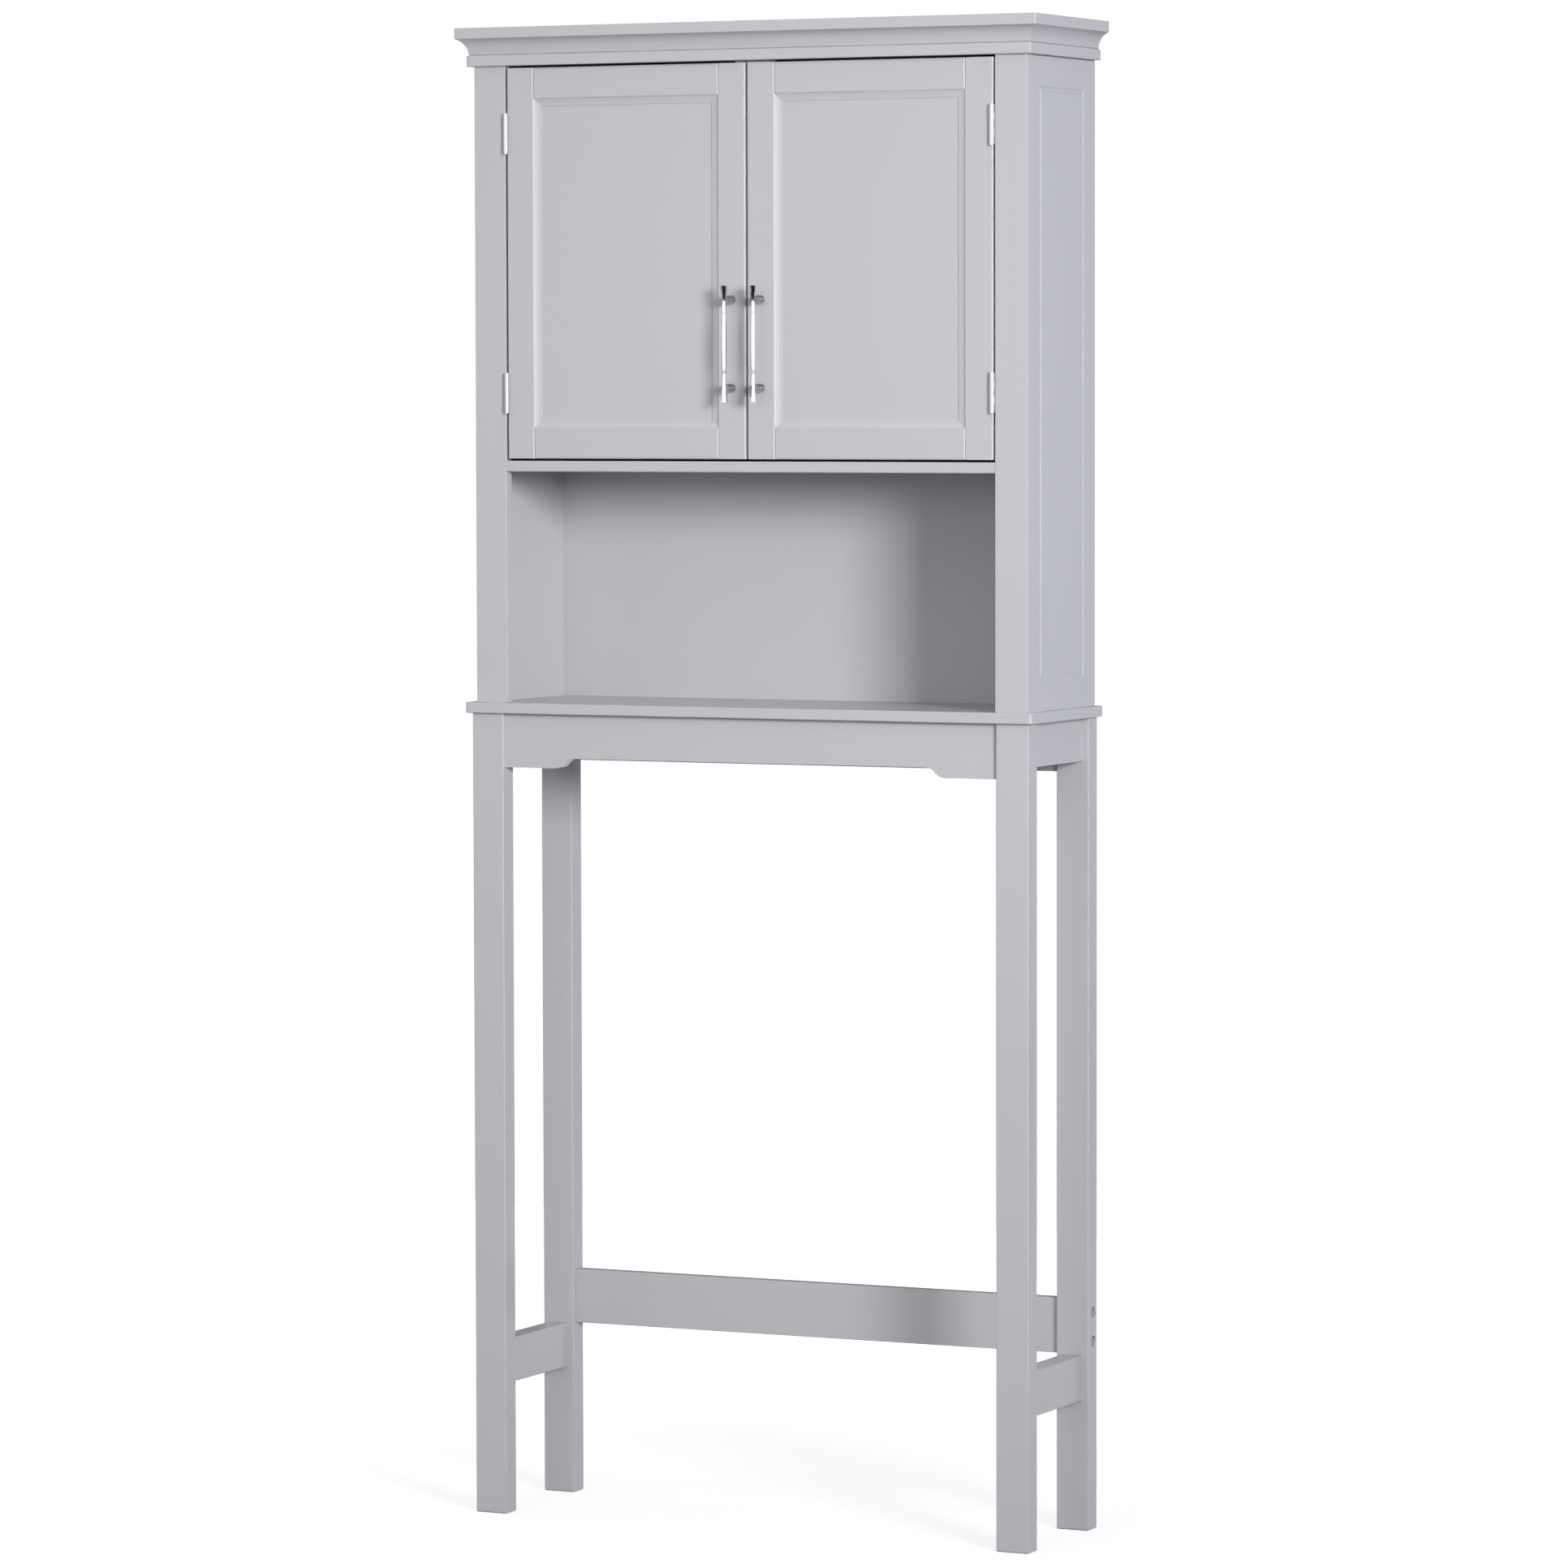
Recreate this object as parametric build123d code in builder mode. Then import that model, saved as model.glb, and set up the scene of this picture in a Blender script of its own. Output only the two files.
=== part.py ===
"""Over-the-toilet storage rack: a tall leg frame that carries a counter shelf,
an open niche and a two-door cabinet under a coved crown.

Millimetres. X runs across the rack, Y from the front to the wall, Z up.
The origin is on the floor, at the middle of the rack's overall width and depth.
Paired pieces are drawn on the right, at positive X, and mirrored to the left.
"""

import os
from math import atan2, degrees, radians, tan

from build123d import *

# Leg frame
FRAME_WIDTH = 672.0
FRAME_DEPTH = 189.0
LEG_WIDTH = 38.0
LEG_DEPTH = 24.0
LEG_HEIGHT = 894.0
LEG_EASE = 1.2
LEG_FOOT_CHAMFER = 1.5

# Front and back rails of the leg frame
APRON_THICKNESS = 15.0
APRON_HEIGHT = 60.0
FRONT_APRON_RECESS = 4.5
APRON_FOOT = 62.0
APRON_RISE = 11.0
APRON_OGEE_LENGTH = 23.0
BACK_RAIL_RECESS = 6.0
BACK_STRETCHER_BOTTOM = 194.0
BACK_STRETCHER_HEIGHT = 61.0

# Side rails of the leg frame
SIDE_RAIL_THICKNESS = 24.0
SIDE_APRON_HEIGHT = 48.0
SIDE_STRETCHER_BOTTOM = 144.0
SIDE_STRETCHER_HEIGHT = 50.0
RAIL_EASE = 1.0

# Counter shelf
COUNTER_THICKNESS = 12.0
COUNTER_OVERHANG = 6.0
COUNTER_CORNER_RADIUS = 3.0
COUNTER_EASE = 1.5

# Upper cabinet
CABINET_INSET = 3.0
CABINET_SETBACK = 5.0
POST_WIDTH = 38.0
POST_THICKNESS = 12.0
POST_EASE = 0.8
SIDE_THICKNESS = 15.0
NICHE_HEIGHT = 255.5
FLOOR_THICKNESS = 12.0
FLOOR_EASE = 1.5
COMPARTMENT_HEIGHT = 434.5
BACK_THICKNESS = 3.0
BACK_RABBET = 8.0
GROOVE_WIDTH = 6.0
GROOVE_DEPTH = 0.9
GROOVE_SLOPE = 60.0
GROOVE_MARGIN_UPRIGHT = 34.0
GROOVE_MARGIN_LEVEL = 36.0
SIDE_TOP_BEVEL = 1.3

# Adjustable shelf inside the cabinet
SHELF_THICKNESS = 12.0
SHELF_EASE = 1.5
SHELF_HEIGHT = 215.0
SHELF_END_ROOM = 1.0
SHELF_FRONT_ROOM = 12.0
PIN_RADIUS = 2.5
PIN_DEPTH = 8.0
PIN_HOLE_PITCH = 32.0
PIN_HOLE_ROWS = 3
PIN_MARGIN = 36.0
PIN_SUPPORT = 9.0
PIN_SUPPORT_DROP = 6.0
PIN_CLEARANCE = 0.05

# Crown
TOP_THICKNESS = 12.0
TOP_OVERHANG = 6.5
COVE_HEIGHT = 18.0
COVE_FOOT = 4.5
COVE_HEAD = 15.5
COVE_QUIRK = 1.2
COVE_BACKING = 12.0
CAP_THICKNESS = 12.0
CAP_OVERHANG = 16.5
CROWN_CORNER_RADIUS = 2.0
CROWN_EASE = 1.0

# Doors
DOOR_GAP = 2.5
DOOR_THICKNESS = 15.0
STILE_WIDTH = 32.6
RAIL_WIDTH = 33.8
STICKING_WIDTH = 8.2
STICKING_ROUND = 0.5
STICKING_STEP = 1.2
STICKING_SLOPE = 0.8
STICKING_TIP = 0.9
DOOR_EASE = 1.2
JOINT_BEVEL = 1.2
PANEL_RECESS = 3.2
PANEL_THICKNESS = 5.0
PANEL_ROOM = 0.5

# Butt hinges
HINGE_HEIGHT = 42.5
HINGE_INSET = 72.0
HINGE_PROUD = 2.7
KNUCKLE_RADIUS = 2.4
KNUCKLE_COUNT = 5
KNUCKLE_GAP = 0.25
LEAF_THICKNESS = 1.1
LEAF_DEPTH = 11.0
HINGE_PIN_RADIUS = 1.5
HINGE_PIN_CLEARANCE = 0.05
HINGE_PIN_HEAD_RADIUS = 2.0
HINGE_PIN_HEAD_HEIGHT = 1.0
HINGE_SCREW_SPACING = 24.0
HINGE_SCREW_RADIUS = 1.3
HINGE_SCREW_HEAD_RADIUS = 2.4
HINGE_SCREW_LENGTH = 14.0
SCREW_CLEARANCE = 0.05

# Pulls
PULL_SPACING = 96.0
PULL_LENGTH = 126.0
PULL_HEIGHT = 125.0
PULL_CLEARANCE = 17.5
PULL_POST_RADIUS = 4.8
PULL_END_WIDTH = 7.5
PULL_END_DEPTH = 7.0
PULL_WAIST_WIDTH = 4.2
PULL_WAIST_DEPTH = 4.6
PULL_COLLAR_WIDTH = 3.7
PULL_COLLAR_DEPTH = 4.0
PULL_NECK_WIDTH = 2.4
PULL_NECK_DEPTH = 2.8
PULL_NECK_LENGTH = 2.0
PULL_SPINDLE_LENGTH = 64.0
PULL_SPINDLE_WIDTH = 5.0
PULL_SPINDLE_DEPTH = 5.4
PULL_FACET_TILT = 37.0
PULL_SCREW_RADIUS = 2.0
PULL_SCREW_BITE = 12.0
PULL_SCREW_HEAD_RADIUS = 4.0
PULL_SCREW_HEAD_HEIGHT = 2.2

# Magnetic catch
CATCH_WIDTH = 42.0
CATCH_HEIGHT = 13.0
CATCH_DEPTH = 16.0
CATCH_EASE = 1.5
CATCH_WINDOW_WIDTH = 14.0
CATCH_WINDOW_HEIGHT = 7.0
CATCH_WINDOW_DEPTH = 2.0
CATCH_WINDOW_SPACING = 21.0
CATCH_SCREW_SPACING = 30.0
CATCH_SCREW_RADIUS = 1.5
CATCH_SCREW_HEAD_RADIUS = 3.0
CATCH_SCREW_HEAD_HEIGHT = 1.6
CATCH_SCREW_LENGTH = 10.0
CATCH_STRIKE_GAP = 0.4
STRIKE_WIDTH = 15.0
STRIKE_HEIGHT = 18.0
STRIKE_THICKNESS = 1.0

# Wooden dowels
DOWEL_RADIUS = 4.0
DOWEL_CLEARANCE = 0.1
DOWEL_IN_LEG = 11.0
DOWEL_IN_RAIL = 18.0
DOWEL_IN_BOARD = 8.0
DOWEL_IN_EDGE = 16.0
DOWEL_END_ROOM = 1.0
DOWEL_MARGIN = 14.0
PANEL_DOWEL_MARGIN = 40.0

# Stretcher bolts and their barrel nuts
BOLT_SPACING = 32.0
BOLT_RADIUS = 3.0
BOLT_CLEARANCE = 0.2
BOLT_HEAD_RADIUS = 5.0
BOLT_HEAD_HEIGHT = 6.0
BOLT_SOCKET_ACROSS = 5.0
BOLT_SOCKET_DEPTH = 3.5
BOLT_SINK_RADIUS = 6.0
BOLT_SINK_DEPTH = 16.0
BARREL_RADIUS = 5.0
BARREL_LENGTH = 12.0
BARREL_INSET = 26.0
BARREL_CLEARANCE = 0.1
BOLT_OVERRUN = 4.0

# Levels
COUNTER_TOP = LEG_HEIGHT + COUNTER_THICKNESS
NICHE_TOP = COUNTER_TOP + NICHE_HEIGHT
FLOOR_TOP = NICHE_TOP + FLOOR_THICKNESS
CABINET_TOP = FLOOR_TOP + COMPARTMENT_HEIGHT
COVE_BOTTOM = CABINET_TOP + TOP_THICKNESS
CAP_BOTTOM = COVE_BOTTOM + COVE_HEIGHT
APRON_BOTTOM = LEG_HEIGHT - APRON_HEIGHT
SIDE_APRON_BOTTOM = LEG_HEIGHT - SIDE_APRON_HEIGHT
DOOR_BOTTOM = FLOOR_TOP + DOOR_GAP
DOOR_TOP = CABINET_TOP - DOOR_GAP
SHELF_BOTTOM = FLOOR_TOP + SHELF_HEIGHT

# Places from front to back
PULL_REACH = PULL_CLEARANCE + PULL_END_DEPTH
BACK = (FRAME_DEPTH - CABINET_SETBACK + max(PULL_REACH, CAP_OVERHANG)) / 2
LEG_FRONT = BACK - FRAME_DEPTH
BACK_LEG_FRONT = BACK - LEG_DEPTH
FACE = LEG_FRONT + CABINET_SETBACK
POST_BACK = FACE + POST_THICKNESS
PANEL_BACK = BACK - BACK_THICKNESS
DOOR_BACK = FACE + DOOR_THICKNESS
APRON_FRONT = LEG_FRONT + FRONT_APRON_RECESS
BACK_RAIL_FRONT = BACK_LEG_FRONT + BACK_RAIL_RECESS
BACK_RAIL_MIDDLE = BACK_RAIL_FRONT + APRON_THICKNESS / 2
CATCH_FRONT = DOOR_BACK + STRIKE_THICKNESS + CATCH_STRIKE_GAP

# Places across the rack, on the right
LEG_OUTER = FRAME_WIDTH / 2
LEG_INNER = LEG_OUTER - LEG_WIDTH
LEG_MIDDLE = LEG_OUTER - LEG_WIDTH / 2
CABINET_SIDE = LEG_OUTER - CABINET_INSET
POST_INNER = CABINET_SIDE - POST_WIDTH
SIDE_INNER = CABINET_SIDE - SIDE_THICKNESS
DOOR_LOCK_EDGE = DOOR_GAP / 2
DOOR_HINGE_EDGE = POST_INNER - DOOR_GAP
HINGE_X = DOOR_HINGE_EDGE
HINGE_Y = FACE - HINGE_PROUD
PULL_X = DOOR_LOCK_EDGE + STILE_WIDTH / 2
PULL_Z = DOOR_BOTTOM + PULL_HEIGHT
HINGE_LEVELS = (DOOR_BOTTOM + HINGE_INSET, DOOR_TOP - HINGE_INSET)
RAIL_LEVELS = (DOOR_BOTTOM, DOOR_TOP - RAIL_WIDTH)
HINGE_SCREW_HOLE = HINGE_SCREW_RADIUS + SCREW_CLEARANCE


def block(low, high, mode=Mode.ADD):
    """Add or cut a box between two opposite corners."""
    middle = tuple((a + b) / 2 for a, b in zip(low, high))
    with Locations(middle):
        Box(*[b - a for a, b in zip(low, high)], mode=mode)


def drill(points, outward, radius, depth):
    """Sink blind holes from points on a face that looks outward."""
    with Locations(*[Plane(origin=point, z_dir=outward) for point in points]):
        Hole(radius, depth)


def pegs(points, direction, radius, behind, ahead):
    """Add round pegs that run from behind each point to ahead of it."""
    planes = [Plane(origin=point, z_dir=direction).offset(-behind) for point in points]
    with Locations(*planes):
        Cylinder(radius, behind + ahead, align=(Align.CENTER, Align.CENTER, Align.MIN))


def both_sides(points):
    """Give each point of the right side and its mirror image on the left."""
    return points + [(-x, y, z) for x, y, z in points]


def save(piece, label):
    """Label a finished piece and write it."""
    piece.label = label
    export_step(piece, f"parts/{label}.step")


def save_pair(piece, label):
    """Write a right-hand piece and its mirror image; the label has a place for the side."""
    save(piece, label.format("right"))
    save(mirror(piece, about=Plane.YZ), label.format("left"))


# Where the wooden dowels cross the joints of the right side
SIDE_RAIL_LEVELS = [
    SIDE_STRETCHER_BOTTOM + DOWEL_MARGIN,
    SIDE_STRETCHER_BOTTOM + SIDE_STRETCHER_HEIGHT - DOWEL_MARGIN,
    SIDE_APRON_BOTTOM + DOWEL_MARGIN,
    LEG_HEIGHT - DOWEL_MARGIN,
]
APRON_LEVELS = [APRON_BOTTOM + DOWEL_MARGIN, LEG_HEIGHT - DOWEL_MARGIN]
FRONT_SIDE_DOWELS = [(LEG_MIDDLE, LEG_FRONT + LEG_DEPTH, z) for z in SIDE_RAIL_LEVELS]
BACK_SIDE_DOWELS = [(LEG_MIDDLE, BACK_LEG_FRONT, z) for z in SIDE_RAIL_LEVELS]
FRONT_APRON_DOWELS = [(LEG_INNER, APRON_FRONT + APRON_THICKNESS / 2, z) for z in APRON_LEVELS]
BACK_APRON_DOWELS = [(LEG_INNER, BACK_RAIL_MIDDLE, z) for z in APRON_LEVELS]
PANEL_DOWEL_ROWS = [POST_BACK + PANEL_DOWEL_MARGIN, PANEL_BACK - PANEL_DOWEL_MARGIN]
PANEL_MIDDLE = CABINET_SIDE - SIDE_THICKNESS / 2
COUNTER_DOWELS = [(PANEL_MIDDLE, y, COUNTER_TOP) for y in PANEL_DOWEL_ROWS]
TOP_DOWELS = [(PANEL_MIDDLE, y, CABINET_TOP) for y in PANEL_DOWEL_ROWS]
FLOOR_DOWELS = [(SIDE_INNER, y, NICHE_TOP + FLOOR_THICKNESS / 2) for y in PANEL_DOWEL_ROWS]
DOWEL_HOLE = DOWEL_RADIUS + DOWEL_CLEARANCE

# The stretcher bolts of the right side, at the leg's outer face
BOLT_MIDDLE = BACK_STRETCHER_BOTTOM + BACK_STRETCHER_HEIGHT / 2
BOLT_LEVELS = [BOLT_MIDDLE - BOLT_SPACING / 2, BOLT_MIDDLE + BOLT_SPACING / 2]
BARREL_X = LEG_INNER - BARREL_INSET
BOLT_HOLE = BOLT_RADIUS + BOLT_CLEARANCE

# Shelf pins of the right side, with spare holes above and below
PIN_ROWS = [DOOR_BACK + PIN_MARGIN, PANEL_BACK - PIN_MARGIN]
PIN_LEVEL = SHELF_BOTTOM - PIN_SUPPORT_DROP / 2
PIN_LEVELS = [PIN_LEVEL + PIN_HOLE_PITCH * (row - PIN_HOLE_ROWS // 2) for row in range(PIN_HOLE_ROWS)]


def leg(front, side_dowels, side_outward, apron_dowels):
    """A square leg with eased arrises, drilled for its rails."""
    with BuildPart() as piece:
        block((LEG_INNER, front, 0), (LEG_OUTER, front + LEG_DEPTH, LEG_HEIGHT))
        chamfer(piece.faces().sort_by(Axis.Z)[0].edges(), LEG_FOOT_CHAMFER)
        fillet(piece.edges().filter_by(Axis.Z), LEG_EASE)
        drill(side_dowels, side_outward, DOWEL_HOLE, DOWEL_IN_LEG)
        drill(apron_dowels, (-1, 0, 0), DOWEL_HOLE, DOWEL_IN_LEG)
    return piece.part


def back_leg():
    """The back leg also takes the two sunk stretcher bolts."""
    with BuildPart() as piece:
        add(leg(BACK_LEG_FRONT, BACK_SIDE_DOWELS, (0, -1, 0), BACK_APRON_DOWELS))
        spots = [Plane(origin=(LEG_OUTER, BACK_RAIL_MIDDLE, z), z_dir=(1, 0, 0)) for z in BOLT_LEVELS]
        with Locations(*spots):
            CounterBoreHole(BOLT_HOLE, BOLT_SINK_RADIUS, BOLT_SINK_DEPTH, LEG_WIDTH)
    return piece.part


def side_rail(bottom, height):
    """A rail between the front and back legs of one side."""
    inner = LEG_MIDDLE - SIDE_RAIL_THICKNESS / 2
    levels = [z for z in SIDE_RAIL_LEVELS if bottom < z < bottom + height]
    depth = DOWEL_IN_RAIL + DOWEL_END_ROOM
    with BuildPart() as piece:
        block(
            (inner, LEG_FRONT + LEG_DEPTH, bottom),
            (inner + SIDE_RAIL_THICKNESS, BACK_LEG_FRONT, bottom + height),
        )
        fillet(piece.edges().filter_by(Axis.Y), RAIL_EASE)
        drill([(LEG_MIDDLE, LEG_FRONT + LEG_DEPTH, z) for z in levels], (0, -1, 0), DOWEL_HOLE, depth)
        drill([(LEG_MIDDLE, BACK_LEG_FRONT, z) for z in levels], (0, 1, 0), DOWEL_HOLE, depth)
    return piece.part


def front_apron():
    """The front rail, whose lower edge rises in an ogee to a long flat arch."""
    turn = 2 * degrees(atan2(APRON_RISE, APRON_OGEE_LENGTH))
    radius = (APRON_OGEE_LENGTH**2 + APRON_RISE**2) / (4 * APRON_RISE)
    with BuildPart() as piece:
        with BuildSketch(Plane.XZ.offset(-APRON_FRONT)):
            with BuildLine():
                foot = Polyline(
                    (0, LEG_HEIGHT),
                    (LEG_INNER, LEG_HEIGHT),
                    (LEG_INNER, APRON_BOTTOM),
                    (LEG_INNER - APRON_FOOT, APRON_BOTTOM),
                )
                lower = JernArc(foot @ 1, (-1, 0), radius, -turn)
                upper = JernArc(lower @ 1, lower % 1, radius, turn)
                Line(upper @ 1, (0, APRON_BOTTOM + APRON_RISE))
                mirror(about=Plane.YZ)
            make_face()
        extrude(amount=-APRON_THICKNESS)
        depth = DOWEL_IN_RAIL + DOWEL_END_ROOM
        drill(FRONT_APRON_DOWELS, (1, 0, 0), DOWEL_HOLE, depth)
        drill([(-x, y, z) for x, y, z in FRONT_APRON_DOWELS], (-1, 0, 0), DOWEL_HOLE, depth)
    return piece.part


def back_apron():
    """The plain rail behind, under the counter."""
    with BuildPart() as piece:
        block(
            (-LEG_INNER, BACK_RAIL_FRONT, APRON_BOTTOM),
            (LEG_INNER, BACK_RAIL_FRONT + APRON_THICKNESS, LEG_HEIGHT),
        )
        depth = DOWEL_IN_RAIL + DOWEL_END_ROOM
        drill(BACK_APRON_DOWELS, (1, 0, 0), DOWEL_HOLE, depth)
        drill([(-x, y, z) for x, y, z in BACK_APRON_DOWELS], (-1, 0, 0), DOWEL_HOLE, depth)
    return piece.part


def back_stretcher():
    """The low back rail, bored for the bolts and cross-bored for their barrel nuts."""
    back = BACK_RAIL_FRONT + APRON_THICKNESS
    bore = BARREL_INSET + BARREL_RADIUS + BOLT_OVERRUN
    nut_depth = back - BACK_RAIL_MIDDLE + BARREL_LENGTH / 2
    with BuildPart() as piece:
        block(
            (-LEG_INNER, BACK_RAIL_FRONT, BACK_STRETCHER_BOTTOM),
            (LEG_INNER, back, BACK_STRETCHER_BOTTOM + BACK_STRETCHER_HEIGHT),
        )
        fillet(piece.edges().filter_by(Axis.X), RAIL_EASE)
        for end in (-1, 1):
            drill([(end * LEG_INNER, BACK_RAIL_MIDDLE, z) for z in BOLT_LEVELS], (end, 0, 0), BOLT_HOLE, bore)
            nuts = [(end * BARREL_X, back, z) for z in BOLT_LEVELS]
            drill(nuts, (0, 1, 0), BARREL_RADIUS + BARREL_CLEARANCE, nut_depth)
    return piece.part


def stretcher_bolts():
    """Socket-head bolts, sunk in the back legs."""
    seat = LEG_OUTER - BOLT_SINK_DEPTH
    length = seat - BARREL_X + BARREL_RADIUS + BOLT_OVERRUN / 2
    with BuildPart() as bolts:
        for end in (-1, 1):
            seats = [Plane(origin=(end * seat, BACK_RAIL_MIDDLE, z), z_dir=(end, 0, 0)) for z in BOLT_LEVELS]
            with Locations(*seats):
                Cylinder(BOLT_HEAD_RADIUS, BOLT_HEAD_HEIGHT, align=(Align.CENTER, Align.CENTER, Align.MIN))
                Cylinder(BOLT_RADIUS, length, align=(Align.CENTER, Align.CENTER, Align.MAX))
            for place in seats:
                with BuildSketch(place.offset(BOLT_HEAD_HEIGHT)):
                    RegularPolygon(BOLT_SOCKET_ACROSS / 2, 6, major_radius=False)
                extrude(amount=-BOLT_SOCKET_DEPTH, mode=Mode.SUBTRACT)
    return bolts.part


def stretcher_barrel_nuts():
    """Cross dowels that the stretcher bolts pull on."""
    spots = both_sides([(BARREL_X, BACK_RAIL_MIDDLE, z) for z in BOLT_LEVELS])
    with BuildPart() as nuts:
        pegs(spots, (0, 1, 0), BARREL_RADIUS, BARREL_LENGTH / 2, BARREL_LENGTH / 2)
        with Locations(*[Plane(origin=spot, z_dir=(1, 0, 0)) for spot in spots]):
            Cylinder(BOLT_RADIUS + BOLT_CLEARANCE / 2, 3 * BARREL_RADIUS, mode=Mode.SUBTRACT)
    return nuts.part


def frame_dowels():
    """Dowels of the leg frame, driven to the bottom of their holes in the legs."""
    with BuildPart() as dowels:
        pegs(both_sides(FRONT_SIDE_DOWELS), (0, -1, 0), DOWEL_RADIUS, DOWEL_IN_RAIL, DOWEL_IN_LEG)
        pegs(both_sides(BACK_SIDE_DOWELS), (0, 1, 0), DOWEL_RADIUS, DOWEL_IN_RAIL, DOWEL_IN_LEG)
        aprons = FRONT_APRON_DOWELS + BACK_APRON_DOWELS
        pegs(aprons, (1, 0, 0), DOWEL_RADIUS, DOWEL_IN_RAIL, DOWEL_IN_LEG)
        mirrored = [(-x, y, z) for x, y, z in aprons]
        pegs(mirrored, (-1, 0, 0), DOWEL_RADIUS, DOWEL_IN_RAIL, DOWEL_IN_LEG)
    return dowels.part


def carcass_dowels():
    """Dowels between the cabinet's side panels and the boards that they meet."""
    with BuildPart() as dowels:
        pegs(both_sides(COUNTER_DOWELS), (0, 0, -1), DOWEL_RADIUS, DOWEL_IN_EDGE, DOWEL_IN_BOARD)
        pegs(both_sides(TOP_DOWELS), (0, 0, 1), DOWEL_RADIUS, DOWEL_IN_EDGE, DOWEL_IN_BOARD)
        pegs(FLOOR_DOWELS, (1, 0, 0), DOWEL_RADIUS, DOWEL_IN_EDGE, DOWEL_IN_BOARD)
        mirrored = [(-x, y, z) for x, y, z in FLOOR_DOWELS]
        pegs(mirrored, (-1, 0, 0), DOWEL_RADIUS, DOWEL_IN_EDGE, DOWEL_IN_BOARD)
    return dowels.part


def overhanging_board(half_width, front, bottom, thickness, corner_radius, ease):
    """A level board, flush at the back, with rounded front corners and eased edges."""
    with BuildPart() as piece:
        block((-half_width, front, bottom), (half_width, BACK, bottom + thickness))
        corners = piece.edges().filter_by(Axis.Z).group_by(Axis.Y)[0]
        fillet(corners, corner_radius)
        level = piece.faces().filter_by(Axis.Z).edges()
        fillet(level - level.group_by(Axis.Y)[-1], ease)
    return piece.part


def counter_shelf():
    """The counter shelf on the legs, bored for the side panels' dowels."""
    with BuildPart() as piece:
        add(overhanging_board(
            LEG_OUTER + COUNTER_OVERHANG, LEG_FRONT - COUNTER_OVERHANG, LEG_HEIGHT, COUNTER_THICKNESS,
            COUNTER_CORNER_RADIUS, COUNTER_EASE,
        ))
        drill(both_sides(COUNTER_DOWELS), (0, 0, 1), DOWEL_HOLE, DOWEL_IN_BOARD)
    return piece.part


def cabinet_top():
    """The board over the cabinet, whose edge is the crown's lower band."""
    with BuildPart() as piece:
        add(overhanging_board(
            CABINET_SIDE + TOP_OVERHANG, FACE - TOP_OVERHANG, CABINET_TOP, TOP_THICKNESS,
            CROWN_CORNER_RADIUS, CROWN_EASE,
        ))
        drill(both_sides(TOP_DOWELS), (0, 0, -1), DOWEL_HOLE, DOWEL_IN_BOARD)
        drill(catch_screw_points(), (0, 0, -1), CATCH_SCREW_RADIUS + SCREW_CLEARANCE, CATCH_SCREW_LENGTH)
    return piece.part


def crown_cap():
    """The board that closes the crown."""
    return overhanging_board(
        CABINET_SIDE + CAP_OVERHANG, FACE - CAP_OVERHANG, CAP_BOTTOM, CAP_THICKNESS,
        CROWN_CORNER_RADIUS, CROWN_EASE,
    )


def front_post():
    """The upright at the cabinet's front corner, which carries the door's hinges."""
    with BuildPart() as piece:
        block((POST_INNER, FACE, COUNTER_TOP), (CABINET_SIDE, POST_BACK, CABINET_TOP))
        fillet(piece.edges().filter_by(Axis.Z).group_by(Axis.Y)[0], POST_EASE)
        drill(hinge_screw_points(POST_INNER), (-1, 0, 0), HINGE_SCREW_HOLE, HINGE_SCREW_LENGTH)
    return piece.part


def side_panel():
    """A cabinet side with a routed frame outside and rabbet, dowel and pin holes inside."""
    middle_y = (FACE + BACK) / 2
    middle_z = (COUNTER_TOP + CABINET_TOP) / 2
    length = CABINET_TOP - COUNTER_TOP - 2 * GROOVE_MARGIN_LEVEL
    width = BACK - FACE - 2 * GROOVE_MARGIN_UPRIGHT
    outer_face = Plane(origin=(CABINET_SIDE, middle_y, middle_z), x_dir=(0, 1, 0), z_dir=(1, 0, 0))
    with BuildPart() as piece:
        block((SIDE_INNER, POST_BACK, COUNTER_TOP), (CABINET_SIDE, BACK, CABINET_TOP))
        under_crown = piece.edges().filter_by(Axis.Y).group_by(Axis.Z)[-1].sort_by(Axis.X)[-1]
        chamfer(under_crown, SIDE_TOP_BEVEL)
        rabbet = SIDE_INNER + BACK_RABBET
        block((SIDE_INNER, PANEL_BACK, COUNTER_TOP), (rabbet, BACK, CABINET_TOP), Mode.SUBTRACT)
        with BuildSketch(outer_face):
            Rectangle(width + GROOVE_WIDTH, length + GROOVE_WIDTH)
            Rectangle(width - GROOVE_WIDTH, length - GROOVE_WIDTH, mode=Mode.SUBTRACT)
        extrude(amount=-GROOVE_DEPTH, taper=GROOVE_SLOPE, mode=Mode.SUBTRACT)
        edge_depth = DOWEL_IN_EDGE + DOWEL_END_ROOM
        drill(COUNTER_DOWELS, (0, 0, -1), DOWEL_HOLE, edge_depth)
        drill(TOP_DOWELS, (0, 0, 1), DOWEL_HOLE, edge_depth)
        drill(FLOOR_DOWELS, (-1, 0, 0), DOWEL_HOLE, DOWEL_IN_BOARD)
        pins = [(SIDE_INNER, y, z) for y in PIN_ROWS for z in PIN_LEVELS]
        drill(pins, (-1, 0, 0), PIN_RADIUS + PIN_CLEARANCE, PIN_DEPTH)
    return piece.part


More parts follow.
